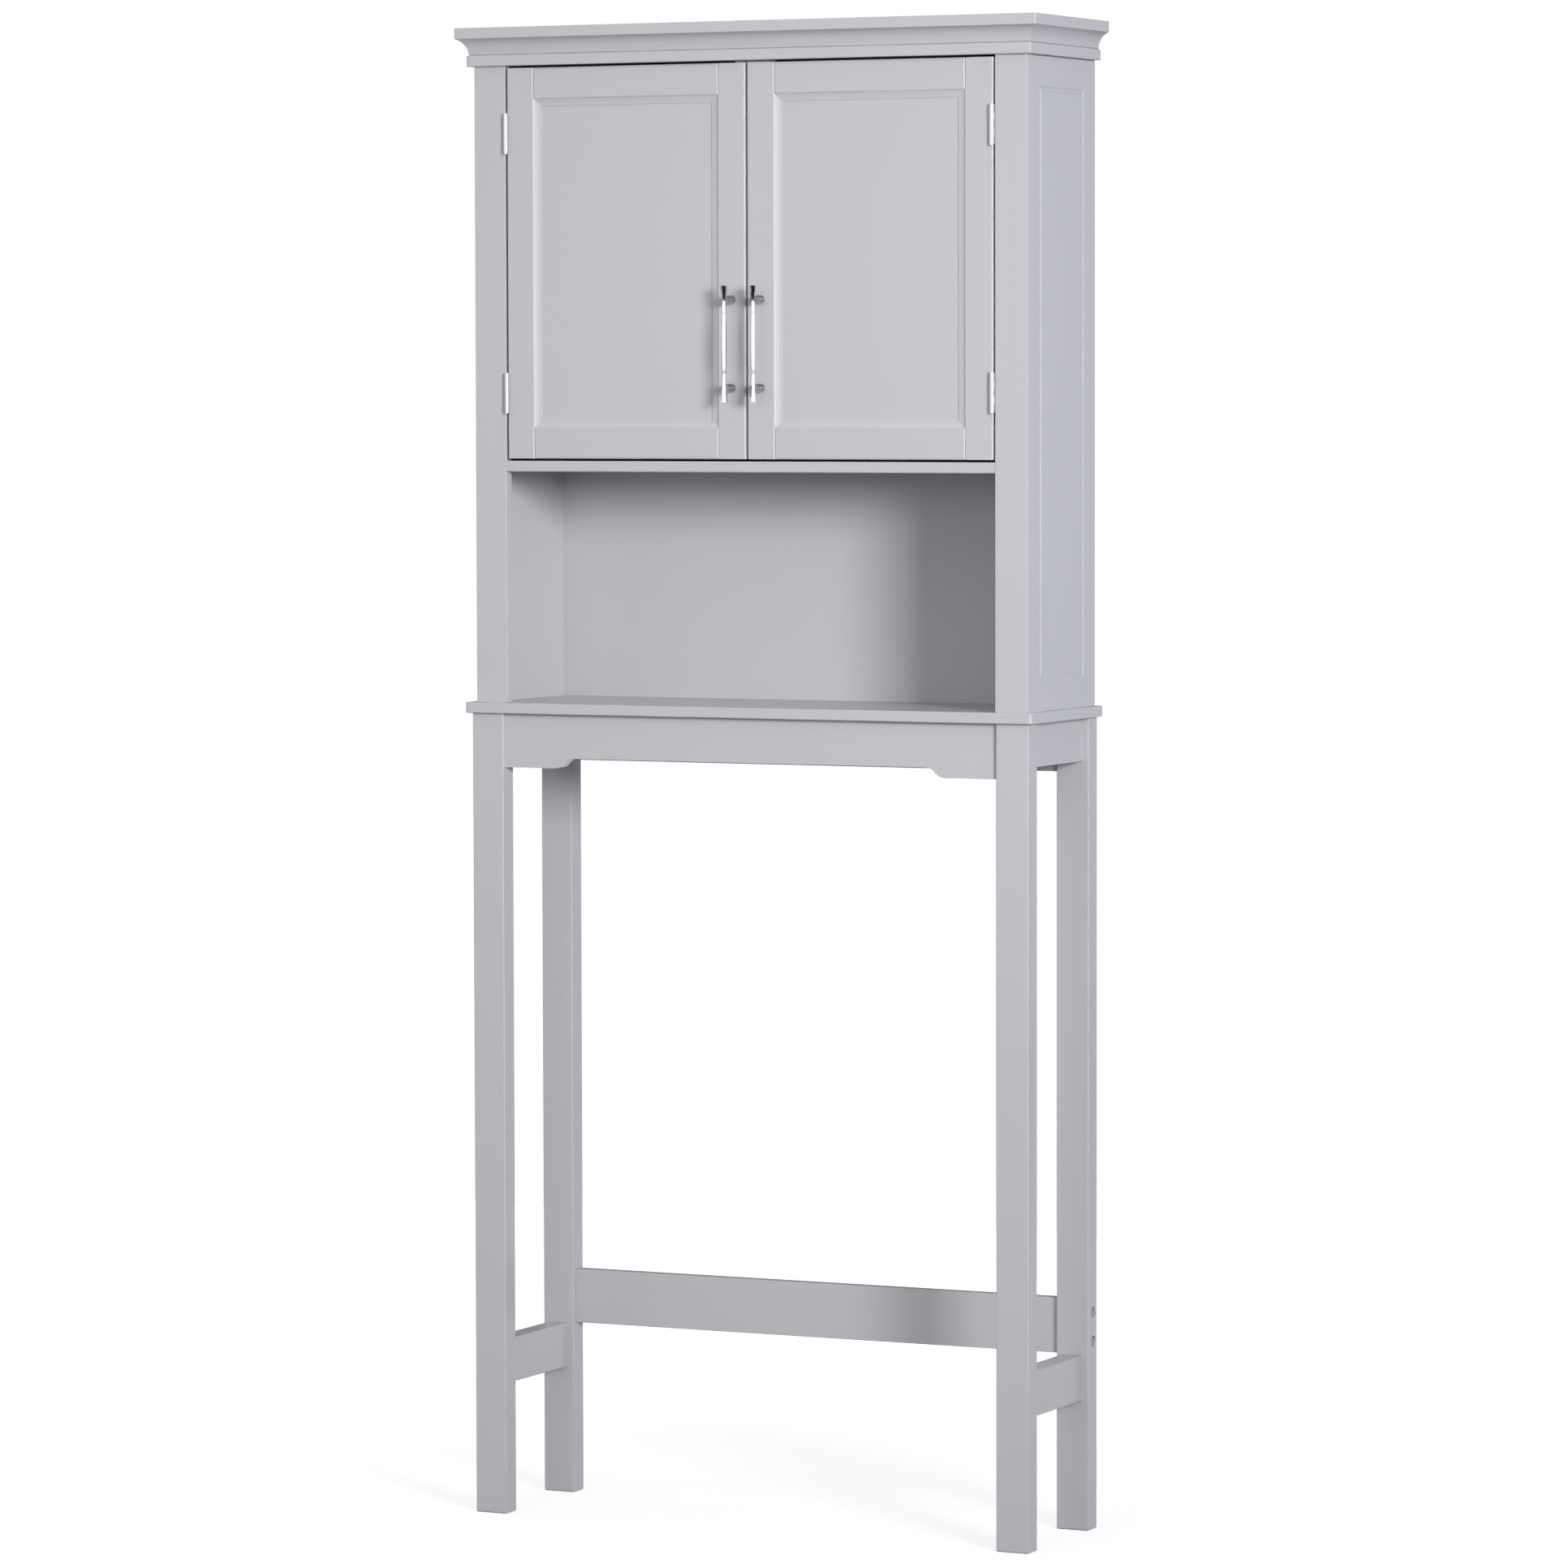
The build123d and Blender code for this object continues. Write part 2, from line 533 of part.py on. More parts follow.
def cabinet_floor():
    """The fixed shelf under the doors, with a tongue that shows between the posts."""
    with BuildPart() as piece:
        block((-SIDE_INNER, POST_BACK, NICHE_TOP), (SIDE_INNER, PANEL_BACK, FLOOR_TOP))
        block((-POST_INNER, FACE, NICHE_TOP), (POST_INNER, POST_BACK, FLOOR_TOP))
        front = piece.edges().filter_by(Axis.X).group_by(Axis.Y)[0]
        fillet(front, FLOOR_EASE)
        edge_depth = DOWEL_IN_EDGE + DOWEL_END_ROOM
        drill(FLOOR_DOWELS, (1, 0, 0), DOWEL_HOLE, edge_depth)
        drill([(-x, y, z) for x, y, z in FLOOR_DOWELS], (-1, 0, 0), DOWEL_HOLE, edge_depth)
    return piece.part


def adjustable_shelf():
    """The loose shelf behind the doors."""
    half = SIDE_INNER - SHELF_END_ROOM
    with BuildPart() as piece:
        block(
            (-half, DOOR_BACK + SHELF_FRONT_ROOM, SHELF_BOTTOM),
            (half, PANEL_BACK, SHELF_BOTTOM + SHELF_THICKNESS),
        )
        fillet(piece.edges().filter_by(Axis.X).group_by(Axis.Y)[0], SHELF_EASE)
    return piece.part


def shelf_pins():
    """Pegs with a flat ledge under each corner of the loose shelf."""
    spots = [(SIDE_INNER, y, PIN_LEVEL) for y in PIN_ROWS]
    half = PIN_SUPPORT_DROP / 2
    with BuildPart() as pins:
        pegs(spots, (1, 0, 0), PIN_RADIUS, 0, PIN_DEPTH)
        for x, y, z in spots:
            block((x - PIN_SUPPORT, y - PIN_SUPPORT / 2, z - half), (x, y + PIN_SUPPORT / 2, z + half))
        mirror(about=Plane.YZ)
    return pins.part


def back_panel():
    """The thin back, let into the side panels."""
    half = SIDE_INNER + BACK_RABBET
    with BuildPart() as piece:
        block((-half, PANEL_BACK, COUNTER_TOP), (half, BACK, CABINET_TOP))
    return piece.part


def cove_outline():
    """Section of the crown moulding; x is the overhang from the cabinet, y the height."""
    with BuildSketch() as outline:
        with BuildLine():
            foot = (COVE_FOOT, COVE_BOTTOM + COVE_QUIRK)
            cove = TangentArc(foot, (COVE_HEAD, CAP_BOTTOM), tangent=(0, 1))
            Polyline(
                cove @ 1,
                (-COVE_BACKING, CAP_BOTTOM),
                (-COVE_BACKING, COVE_BOTTOM),
                (COVE_FOOT - COVE_QUIRK, COVE_BOTTOM),
                cove @ 0,
            )
        make_face()
    return outline.sketch


def crown_front():
    """The front moulding, mitred at both ends."""
    length = 2 * (CABINET_SIDE + CAP_OVERHANG)
    section = Plane(origin=(-length / 2, FACE, 0), x_dir=(0, -1, 0), z_dir=(-1, 0, 0))
    with BuildPart() as piece:
        with BuildSketch(section):
            add(cove_outline())
        extrude(amount=-length)
        for side in (-1, 1):
            mitre = Plane(origin=(side * CABINET_SIDE, FACE, 0), z_dir=(side, 1, 0))
            split(bisect_by=mitre, keep=Keep.BOTTOM)
    return piece.part


def crown_side():
    """A side moulding, mitred at the front and square at the wall."""
    section = Plane(origin=(CABINET_SIDE, BACK, 0), x_dir=(1, 0, 0), z_dir=(0, -1, 0))
    with BuildPart() as piece:
        with BuildSketch(section):
            add(cove_outline())
        extrude(amount=BACK - FACE + CAP_OVERHANG)
        split(bisect_by=Plane(origin=(CABINET_SIDE, FACE, 0), z_dir=(1, 1, 0)), keep=Keep.TOP)
    return piece.part


def door_member(start, inward, along, length, flat, joint):
    """A stile or rail: its section drawn from the door's edge inward, run along its length.

    The moulded inner edge is cut back to a mitre that begins at the joint with the next member.
    """
    section = Plane(origin=start, x_dir=inward, z_dir=along)
    lip = flat + STICKING_WIDTH
    groove_back = PANEL_RECESS + PANEL_THICKNESS
    with BuildPart() as piece:
        with BuildSketch(section):
            with BuildLine():
                ease = RadiusArc((0, DOOR_EASE), (DOOR_EASE, 0), DOOR_EASE)
                face = Line(ease @ 1, (flat - STICKING_ROUND, 0))
                arris = RadiusArc(face @ 1, (flat, STICKING_ROUND), STICKING_ROUND)
                step = Line(arris @ 1, (flat + STICKING_SLOPE, STICKING_STEP))
                cove = TangentArc((lip, PANEL_RECESS - STICKING_TIP), step @ 1, tangent=(-1, 0))
                Polyline(
                    cove @ 0,
                    (lip, PANEL_RECESS),
                    (flat, PANEL_RECESS),
                    (flat, groove_back),
                    (lip, groove_back),
                    (lip, DOOR_THICKNESS),
                    (0, DOOR_THICKNESS),
                    ease @ 0,
                )
            make_face()
        extrude(amount=length)
        with BuildSketch(Plane(origin=start, x_dir=inward, z_dir=-section.y_dir)):
            for end, sense in ((0, 1), (length, -1)):
                corner = end + sense * joint
                outside = end - sense * STICKING_WIDTH
                Polygon(
                    (flat, corner),
                    (flat + 2 * STICKING_WIDTH, corner + sense * 2 * STICKING_WIDTH),
                    (flat + 2 * STICKING_WIDTH, outside),
                    (flat, outside),
                    align=None,
                )
        extrude(amount=-DOOR_THICKNESS, mode=Mode.SUBTRACT)
    return piece.part


def joint_bevel(x, into, level):
    """Section of the bevel that a door member has along its joint at x."""
    with BuildSketch(Plane.XY.offset(level)) as bevel:
        Polygon((x, FACE), (x + into * JOINT_BEVEL, FACE), (x, FACE + JOINT_BEVEL), align=None)
    return bevel.sketch


def hinge_stile():
    """The door's stile on the hinge side, drilled for the hinge screws."""
    with BuildPart() as piece:
        add(door_member(
            (DOOR_HINGE_EDGE, FACE, DOOR_TOP), (-1, 0, 0), (0, 0, -1),
            DOOR_TOP - DOOR_BOTTOM, STILE_WIDTH, RAIL_WIDTH,
        ))
        for level in RAIL_LEVELS:
            bevel = joint_bevel(DOOR_HINGE_EDGE - STILE_WIDTH, 1, level)
            extrude(bevel, amount=RAIL_WIDTH, mode=Mode.SUBTRACT)
        drill(hinge_screw_points(DOOR_HINGE_EDGE), (1, 0, 0), HINGE_SCREW_HOLE, HINGE_SCREW_LENGTH)
    return piece.part


def lock_stile():
    """The door's stile at the middle, bored for the pull's screws."""
    with BuildPart() as piece:
        add(door_member(
            (DOOR_LOCK_EDGE, FACE, DOOR_BOTTOM), (1, 0, 0), (0, 0, 1),
            DOOR_TOP - DOOR_BOTTOM, STILE_WIDTH, RAIL_WIDTH,
        ))
        for level in RAIL_LEVELS:
            bevel = joint_bevel(DOOR_LOCK_EDGE + STILE_WIDTH, -1, level)
            extrude(bevel, amount=RAIL_WIDTH, mode=Mode.SUBTRACT)
        drill(pull_points(FACE), (0, -1, 0), PULL_SCREW_RADIUS + SCREW_CLEARANCE, DOOR_THICKNESS)
    return piece.part


def door_rail(top):
    """A top or bottom rail, with bevels at the joints with the stiles."""
    length = DOOR_HINGE_EDGE - DOOR_LOCK_EDGE - 2 * STILE_WIDTH
    left = DOOR_LOCK_EDGE + STILE_WIDTH
    right = DOOR_HINGE_EDGE - STILE_WIDTH
    with BuildPart() as piece:
        if top:
            add(door_member((left, FACE, DOOR_TOP), (0, 0, -1), (1, 0, 0), length, RAIL_WIDTH, 0))
        else:
            add(door_member((right, FACE, DOOR_BOTTOM), (0, 0, 1), (-1, 0, 0), length, RAIL_WIDTH, 0))
        level = RAIL_LEVELS[-1] if top else RAIL_LEVELS[0]
        for x, into in ((left, 1), (right, -1)):
            extrude(joint_bevel(x, into, level), amount=RAIL_WIDTH, mode=Mode.SUBTRACT)
    return piece.part


def door_panel():
    """The flat panel that floats in the grooves of the door's frame."""
    side = STILE_WIDTH + PANEL_ROOM
    end = RAIL_WIDTH + PANEL_ROOM
    front = FACE + PANEL_RECESS
    with BuildPart() as piece:
        block(
            (DOOR_LOCK_EDGE + side, front, DOOR_BOTTOM + end),
            (DOOR_HINGE_EDGE - side, front + PANEL_THICKNESS, DOOR_TOP - end),
        )
    return piece.part


def hinge_screw_points(x):
    """Screw places of both hinges of the right door, on the plane at x."""
    half = HINGE_SCREW_SPACING / 2
    y = FACE + LEAF_DEPTH / 2
    return [(x, y, z + offset) for z in HINGE_LEVELS for offset in (-half, half)]


def hinge_leaves(moving):
    """The two leaves on the door, or the two on the post, with their knuckles."""
    knuckle = HINGE_HEIGHT / KNUCKLE_COUNT
    plate_edge = DOOR_HINGE_EDGE if moving else POST_INNER
    outward = 1 if moving else -1
    plate = sorted((plate_edge, plate_edge + outward * LEAF_THICKNESS))
    first = 1 if moving else 0
    with BuildPart() as leaves:
        for level in HINGE_LEVELS:
            bottom = level - HINGE_HEIGHT / 2
            block((plate[0], FACE, bottom), (plate[1], FACE + LEAF_DEPTH, bottom + HINGE_HEIGHT))
            for count in range(first, KNUCKLE_COUNT, 2):
                low = bottom + count * knuckle + KNUCKLE_GAP / 2
                high = low + knuckle - KNUCKLE_GAP
                block((plate[0], HINGE_Y, low), (plate[1], FACE, high))
                with Locations((HINGE_X, HINGE_Y, low)):
                    Cylinder(KNUCKLE_RADIUS, high - low, align=(Align.CENTER, Align.CENTER, Align.MIN))
            with Locations((HINGE_X, HINGE_Y, level)):
                Cylinder(HINGE_PIN_RADIUS + HINGE_PIN_CLEARANCE, HINGE_HEIGHT, mode=Mode.SUBTRACT)
        face = plate_edge + outward * LEAF_THICKNESS
        spots = [Plane(origin=point, z_dir=(outward, 0, 0)) for point in hinge_screw_points(face)]
        with Locations(*spots):
            CounterSinkHole(HINGE_SCREW_HOLE, HINGE_SCREW_HEAD_RADIUS + SCREW_CLEARANCE, LEAF_THICKNESS, 90)
    return leaves.part


def hinge_pins():
    """The right door's hinge pins, headed at both ends."""
    with BuildPart() as pins:
        for level in HINGE_LEVELS:
            with Locations((HINGE_X, HINGE_Y, level)):
                Cylinder(HINGE_PIN_RADIUS, HINGE_HEIGHT)
            for end in (-1, 1):
                middle = level + end * (HINGE_HEIGHT + HINGE_PIN_HEAD_HEIGHT) / 2
                with Locations((HINGE_X, HINGE_Y, middle)):
                    Cylinder(HINGE_PIN_HEAD_RADIUS, HINGE_PIN_HEAD_HEIGHT)
    return pins.part


def hinge_screws(moving):
    """Countersunk screws through the door's leaves, or through the post's."""
    plate_edge = DOOR_HINGE_EDGE if moving else POST_INNER
    outward = 1 if moving else -1
    taper = HINGE_SCREW_HEAD_RADIUS - HINGE_SCREW_RADIUS
    face = plate_edge + outward * LEAF_THICKNESS
    with BuildPart() as screws:
        for point in hinge_screw_points(face):
            with BuildSketch(Plane(origin=point, x_dir=(0, 1, 0), z_dir=(0, 0, 1))):
                with BuildLine():
                    Polyline(
                        (0, 0),
                        (HINGE_SCREW_HEAD_RADIUS, 0),
                        (HINGE_SCREW_RADIUS, outward * taper),
                        (HINGE_SCREW_RADIUS, outward * HINGE_SCREW_LENGTH),
                        (0, outward * HINGE_SCREW_LENGTH),
                        close=True,
                    )
                make_face()
            revolve(axis=Axis(point, (1, 0, 0)))
    return screws.part


def pull_points(y):
    """Places of the right pull's two posts on the plane at y."""
    return [(PULL_X, y, PULL_Z + end * PULL_SPACING / 2) for end in (-1, 1)]


def pull_section(height, width, depth):
    """A section of the pull's bar: flat behind, with two facets that meet in a ridge."""
    shoulder = depth - width / 2 * tan(radians(PULL_FACET_TILT))
    with BuildSketch(Plane(origin=(PULL_X, FACE - PULL_CLEARANCE, PULL_Z + height))) as section:
        Polygon(
            (-width / 2, 0),
            (width / 2, 0),
            (width / 2, -shoulder),
            (0, -depth),
            (-width / 2, -shoulder),
            align=None,
        )
    return section.sketch


def pull_bar():
    """The pull's bar: a spindle in the middle, a neck at each side of it and flared ends."""
    spindle = PULL_SPINDLE_LENGTH / 2
    flare = spindle + PULL_NECK_LENGTH
    post = PULL_SPACING / 2
    tip = PULL_LENGTH / 2
    with BuildPart() as piece:
        loft([
            pull_section(-spindle, PULL_COLLAR_WIDTH, PULL_COLLAR_DEPTH),
            pull_section(0, PULL_SPINDLE_WIDTH, PULL_SPINDLE_DEPTH),
            pull_section(spindle, PULL_COLLAR_WIDTH, PULL_COLLAR_DEPTH),
        ])
        for end in (-1, 1):
            neck = pull_section(end * spindle, PULL_NECK_WIDTH, PULL_NECK_DEPTH)
            extrude(neck, amount=end * PULL_NECK_LENGTH)
            loft([
                pull_section(end * flare, PULL_COLLAR_WIDTH, PULL_COLLAR_DEPTH),
                pull_section(end * post, PULL_WAIST_WIDTH, PULL_WAIST_DEPTH),
                pull_section(end * tip, PULL_END_WIDTH, PULL_END_DEPTH),
            ])
    return piece.part


def pull_posts():
    """The round posts that stand the pull off the door."""
    with BuildPart() as posts:
        pegs(pull_points(FACE), (0, -1, 0), PULL_POST_RADIUS, 0, PULL_CLEARANCE)
        drill(pull_points(FACE), (0, 1, 0), PULL_SCREW_RADIUS + SCREW_CLEARANCE, PULL_SCREW_BITE)
    return posts.part


def pull_screws():
    """Machine screws from behind the door into the pull's posts."""
    with BuildPart() as screws:
        pegs(pull_points(FACE), (0, -1, 0), PULL_SCREW_RADIUS, DOOR_THICKNESS, PULL_SCREW_BITE)
        pegs(pull_points(DOOR_BACK), (0, 1, 0), PULL_SCREW_HEAD_RADIUS, 0, PULL_SCREW_HEAD_HEIGHT)
    return screws.part


def strike_plate():
    """The steel plate behind the door's upper corner that the magnet holds."""
    middle = CATCH_WINDOW_SPACING / 2
    level = CABINET_TOP - CATCH_HEIGHT / 2
    top = min(level + STRIKE_HEIGHT / 2, DOOR_TOP - DOOR_EASE)
    with BuildPart() as piece:
        block(
            (middle - STRIKE_WIDTH / 2, DOOR_BACK, top - STRIKE_HEIGHT),
            (middle + STRIKE_WIDTH / 2, DOOR_BACK + STRIKE_THICKNESS, top),
        )
        fillet(piece.edges().filter_by(Axis.Y), CATCH_EASE)
    return piece.part


def catch_screw_points():
    """Screw places of the catch, on the underside of the top board."""
    y = CATCH_FRONT + CATCH_DEPTH / 2
    return [(side * CATCH_SCREW_SPACING / 2, y, CABINET_TOP) for side in (-1, 1)]


def magnetic_catch():
    """The double magnetic catch under the top board, with a magnet window for each door."""
    half = CATCH_WIDTH / 2
    level = CABINET_TOP - CATCH_HEIGHT / 2
    with BuildPart() as piece:
        block(
            (-half, CATCH_FRONT, CABINET_TOP - CATCH_HEIGHT),
            (half, CATCH_FRONT + CATCH_DEPTH, CABINET_TOP),
        )
        fillet(piece.edges().filter_by(Axis.Z), CATCH_EASE)
        for side in (-1, 1):
            window = Plane(origin=(side * CATCH_WINDOW_SPACING / 2, CATCH_FRONT, level), z_dir=(0, -1, 0))
            with BuildSketch(window):
                Rectangle(CATCH_WINDOW_WIDTH, CATCH_WINDOW_HEIGHT)
            extrude(amount=-CATCH_WINDOW_DEPTH, mode=Mode.SUBTRACT)
        drill(catch_screw_points(), (0, 0, 1), CATCH_SCREW_RADIUS + SCREW_CLEARANCE, CATCH_HEIGHT)
    return piece.part


def catch_screws():
    """The two screws that hold the catch up."""
    heads = [(x, y, z - CATCH_HEIGHT) for x, y, z in catch_screw_points()]
    with BuildPart() as screws:
        pegs(catch_screw_points(), (0, 0, 1), CATCH_SCREW_RADIUS, CATCH_HEIGHT, CATCH_SCREW_LENGTH)
        pegs(heads, (0, 0, -1), CATCH_SCREW_HEAD_RADIUS, 0, CATCH_SCREW_HEAD_HEIGHT)
    return screws.part


os.makedirs("parts", exist_ok=True)

save_pair(leg(LEG_FRONT, FRONT_SIDE_DOWELS, (0, 1, 0), FRONT_APRON_DOWELS), "leg_front_{}")
save_pair(back_leg(), "leg_back_{}")
save_pair(side_rail(SIDE_APRON_BOTTOM, SIDE_APRON_HEIGHT), "side_apron_{}")
save_pair(side_rail(SIDE_STRETCHER_BOTTOM, SIDE_STRETCHER_HEIGHT), "side_stretcher_{}")
save(front_apron(), "front_apron")
save(back_apron(), "back_apron")
save(back_stretcher(), "back_stretcher")
save(stretcher_bolts(), "stretcher_bolts")
save(stretcher_barrel_nuts(), "stretcher_barrel_nuts")
save(frame_dowels(), "frame_dowels")
save(counter_shelf(), "counter_shelf")

save_pair(front_post(), "front_post_{}")
save_pair(side_panel(), "side_panel_{}")
save(cabinet_floor(), "cabinet_floor")
save(adjustable_shelf(), "adjustable_shelf")
save(shelf_pins(), "shelf_pins")
save(back_panel(), "back_panel")
save(carcass_dowels(), "carcass_dowels")
save(cabinet_top(), "cabinet_top")
save(crown_front(), "crown_front")
save_pair(crown_side(), "crown_{}")
save(crown_cap(), "crown_cap")
save(magnetic_catch(), "magnetic_catch")
save(catch_screws(), "catch_screws")

save_pair(hinge_stile(), "{}_door_hinge_stile")
save_pair(lock_stile(), "{}_door_lock_stile")
save_pair(door_rail(top=True), "{}_door_top_rail")
save_pair(door_rail(top=False), "{}_door_bottom_rail")
save_pair(door_panel(), "{}_door_panel")
save_pair(strike_plate(), "{}_strike_plate")
save_pair(pull_bar(), "{}_pull_bar")
save_pair(pull_posts(), "{}_pull_posts")
save_pair(pull_screws(), "{}_pull_screws")
save_pair(hinge_leaves(moving=True), "{}_hinge_door_leaves")
save_pair(hinge_screws(moving=True), "{}_hinge_door_screws")
save_pair(hinge_leaves(moving=False), "{}_hinge_post_leaves")
save_pair(hinge_screws(moving=False), "{}_hinge_post_screws")
save_pair(hinge_pins(), "{}_hinge_pins")
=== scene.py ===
"""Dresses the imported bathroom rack: satin grey paint, chrome pulls, nickel hinges, screws, a white studio."""

import math

import bmesh
import bpy
from mathutils import Matrix, Vector


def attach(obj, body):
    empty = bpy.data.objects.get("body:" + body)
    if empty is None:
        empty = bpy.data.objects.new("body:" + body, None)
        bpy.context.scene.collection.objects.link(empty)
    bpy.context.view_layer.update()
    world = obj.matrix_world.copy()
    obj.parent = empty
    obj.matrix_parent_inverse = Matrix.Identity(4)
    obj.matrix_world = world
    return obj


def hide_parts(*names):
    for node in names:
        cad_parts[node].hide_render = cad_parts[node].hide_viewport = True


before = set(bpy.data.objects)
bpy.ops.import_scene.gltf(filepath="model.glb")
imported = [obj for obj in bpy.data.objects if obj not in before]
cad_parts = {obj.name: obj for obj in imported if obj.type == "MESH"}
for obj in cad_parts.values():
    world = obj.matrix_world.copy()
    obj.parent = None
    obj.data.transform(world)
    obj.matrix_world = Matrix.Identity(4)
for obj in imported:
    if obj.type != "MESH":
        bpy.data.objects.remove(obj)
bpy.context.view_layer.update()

bl_info = {
    "name": "Bathroom rack dressing",
    "version": (1, 0, 0),
    "blender": (4, 5, 0),
    "location": "View3D > Sidebar > Rack",
    "description": "Paint, metal, screws and a studio for a painted rack that stands over a toilet",
    "category": "Object",
}

MILLIMETRE = 0.001
WHITE = (1.0, 1.0, 1.0, 1.0)
SIDES = ("left", "right")
WOOD_ALONG_X = [
    "front_apron", "back_apron", "back_stretcher", "counter_shelf", "cabinet_floor", "adjustable_shelf",
    "cabinet_top", "crown_front", "crown_cap", "back_panel",
]
WOOD_ALONG_Y = [f"{piece}_{side}" for side in SIDES for piece in ("side_apron", "side_stretcher", "crown")]
WOOD_ALONG_Z = [
    *[f"{piece}_{side}" for side in SIDES for piece in ("leg_front", "leg_back", "front_post", "side_panel")],
    *[f"{side}_door_panel" for side in SIDES],
]
DOOR_RAILS = [f"{side}_door_{rail}_rail" for side in SIDES for rail in ("top", "bottom")]
DOOR_STILES = [f"{side}_door_{stile}_stile" for side in SIDES for stile in ("hinge", "lock")]
DOWELS = ["frame_dowels", "carcass_dowels"]
HINGES = [f"{side}_hinge_{piece}" for side in SIDES for piece in ("door_leaves", "post_leaves", "pins")]
PULL_BARS = [f"{side}_pull_bar" for side in SIDES]
PULL_POSTS = [f"{side}_pull_posts" for side in SIDES]
STRIKE_PLATES = [f"{side}_strike_plate" for side in SIDES]
FITTINGS = ["stretcher_bolts", "stretcher_barrel_nuts", "shelf_pins", *STRIKE_PLATES]
HINGE_SCREWS = [f"{side}_hinge_{leaf}_screws" for side in SIDES for leaf in ("door", "post")]
PULL_SCREWS = [f"{side}_pull_screws" for side in SIDES]

# Paint: its clouds and orange peel, the share of streaks in tone and relief, and the swings of its gloss
CLOUD_SIZE = 160 * MILLIMETRE
PEEL_SIZE = 1.4 * MILLIMETRE
STREAK_TONE = 0.6
STREAK_RELIEF = 0.75
CLOUD_GLOSS = 0.08
STREAK_GLOSS = 0.04
PAINT_DEPTH = 0.02 * MILLIMETRE
# Paler paint along an arris: partly wear, partly a painted highlight where rounded edges would catch the key
ARRIS_WEAR_AND_HIGHLIGHT_TINT = 1.3

# Lean of a door's moulding, right and up added, at which the painted highlight on its paint begins and is
# strongest
PAINTED_HIGHLIGHT_RAMP = (0.08, 0.535)

# Bare wood and metal: the grain's share in the tone, the shape of polishing marks, and the pulls' posts
GRAIN_TONE = 0.7
POLISH_SQUEEZE = 0.12
SCRATCH_SIZE = 0.002 * MILLIMETRE
POST_AXIS = (0.0, 1.0, 0.0)

# Screws: how a mesh is taken apart and how finely a new one is made
WELD_DISTANCE = 0.001 * MILLIMETRE
END_SHARE = 0.02
DOME_STEPS = 6
ROWS_PER_TURN = 6
SHARP_ANGLE = math.radians(32)

# Camera: the sensor's width in millimetres, and how far the view reaches
SENSOR_WIDTH = 36.0
CLIP_END = 100.0

# World: where each thing round the rack begins and is whole, as the part of a unit direction along one axis
FAR_FLOOR_DOWN = (0.0, -0.125)
CEILING_UP = (0.2, 0.45)
FRONT_UP = (-0.095, -0.045)
BACKGROUND_BEHIND = (0.0, 0.4)
BACKDROP_RIGHT = (-0.125, 0.125)

# Fall of the white front's lower edge to the right, and cosines of the angle to the key where its box begins
FRONT_FALL = 0.06
SOFT_BOX_NEAR = (0.93, 0.97)


class RackFinishes(bpy.types.PropertyGroup):
    """Colours and surface textures of the rack."""

    paint: bpy.props.FloatVectorProperty(
        name="Paint", description="Cool light grey of the satin paint",
        subtype="COLOR", size=3, min=0, max=1, default=(0.5, 0.494, 0.522))
    paint_roughness: bpy.props.FloatProperty(
        name="Paint roughness", description="Mean roughness of the satin paint", min=0, max=1, default=0.3)
    streak_width: bpy.props.FloatProperty(
        name="Streak width", description="Width of a brush streak across the grain",
        unit="LENGTH", min=0.0002, default=2.2 * MILLIMETRE)
    streak_length: bpy.props.FloatProperty(
        name="Streak length", description="Length of a brush streak along the grain",
        unit="LENGTH", min=0.001, default=140 * MILLIMETRE)
    streak_contrast: bpy.props.FloatProperty(
        name="Streak contrast", description="How far a streak is from the mean paint colour",
        subtype="FACTOR", min=0, max=1, default=0.02)
    # The worn, paler paint along an arris is partly wear and partly a painted highlight
    edge_width: bpy.props.FloatProperty(
        name="Worn edge", description="Reach of the thin, paler paint along an arris",
        unit="LENGTH", min=0, default=1.6 * MILLIMETRE)
    edge_wear_and_highlight: bpy.props.FloatProperty(
        name="Edge paleness", description="How much paler the paint is along an arris",
        subtype="FACTOR", min=0, max=1, default=0.04)
    moulding_relief: bpy.props.FloatProperty(
        name="Moulding relief",
        description="How many times too steep a door's moulding is shaded where it faces right or up",
        min=1, max=4, default=2.3)
    # A painted highlight: the paint of a door's moulding is painted paler where it faces right or up
    moulding_painted_highlight: bpy.props.FloatProperty(
        name="Moulding paleness",
        description="How much paler the rubbed paint is where a door's moulding faces right or up",
        subtype="FACTOR", min=0, max=1, default=0.25)
    bare_wood: bpy.props.FloatVectorProperty(
        name="Bare wood", description="Beech of the dowels",
        subtype="COLOR", size=3, min=0, max=1, default=(0.56, 0.37, 0.2))
    chrome: bpy.props.FloatVectorProperty(
        name="Chrome", description="Mirror chrome of the pulls",
        subtype="COLOR", size=3, min=0, max=1, default=(0.86, 0.86, 0.87))
    turned_steel: bpy.props.FloatVectorProperty(
        name="Turned steel", description="Lathe-turned steel of the pulls' posts",
        subtype="COLOR", size=3, min=0, max=1, default=(0.42, 0.42, 0.43))
    nickel: bpy.props.FloatVectorProperty(
        name="Nickel", description="Bright nickel of the hinges",
        subtype="COLOR", size=3, min=0, max=1, default=(0.86, 0.855, 0.84))
    zinc: bpy.props.FloatVectorProperty(
        name="Zinc", description="Blue-white zinc of screws, bolts and plates",
        subtype="COLOR", size=3, min=0, max=1, default=(0.62, 0.64, 0.67))
    plastic: bpy.props.FloatVectorProperty(
        name="Plastic", description="White moulded plastic of the catch",
        subtype="COLOR", size=3, min=0, max=1, default=(0.8, 0.8, 0.79))


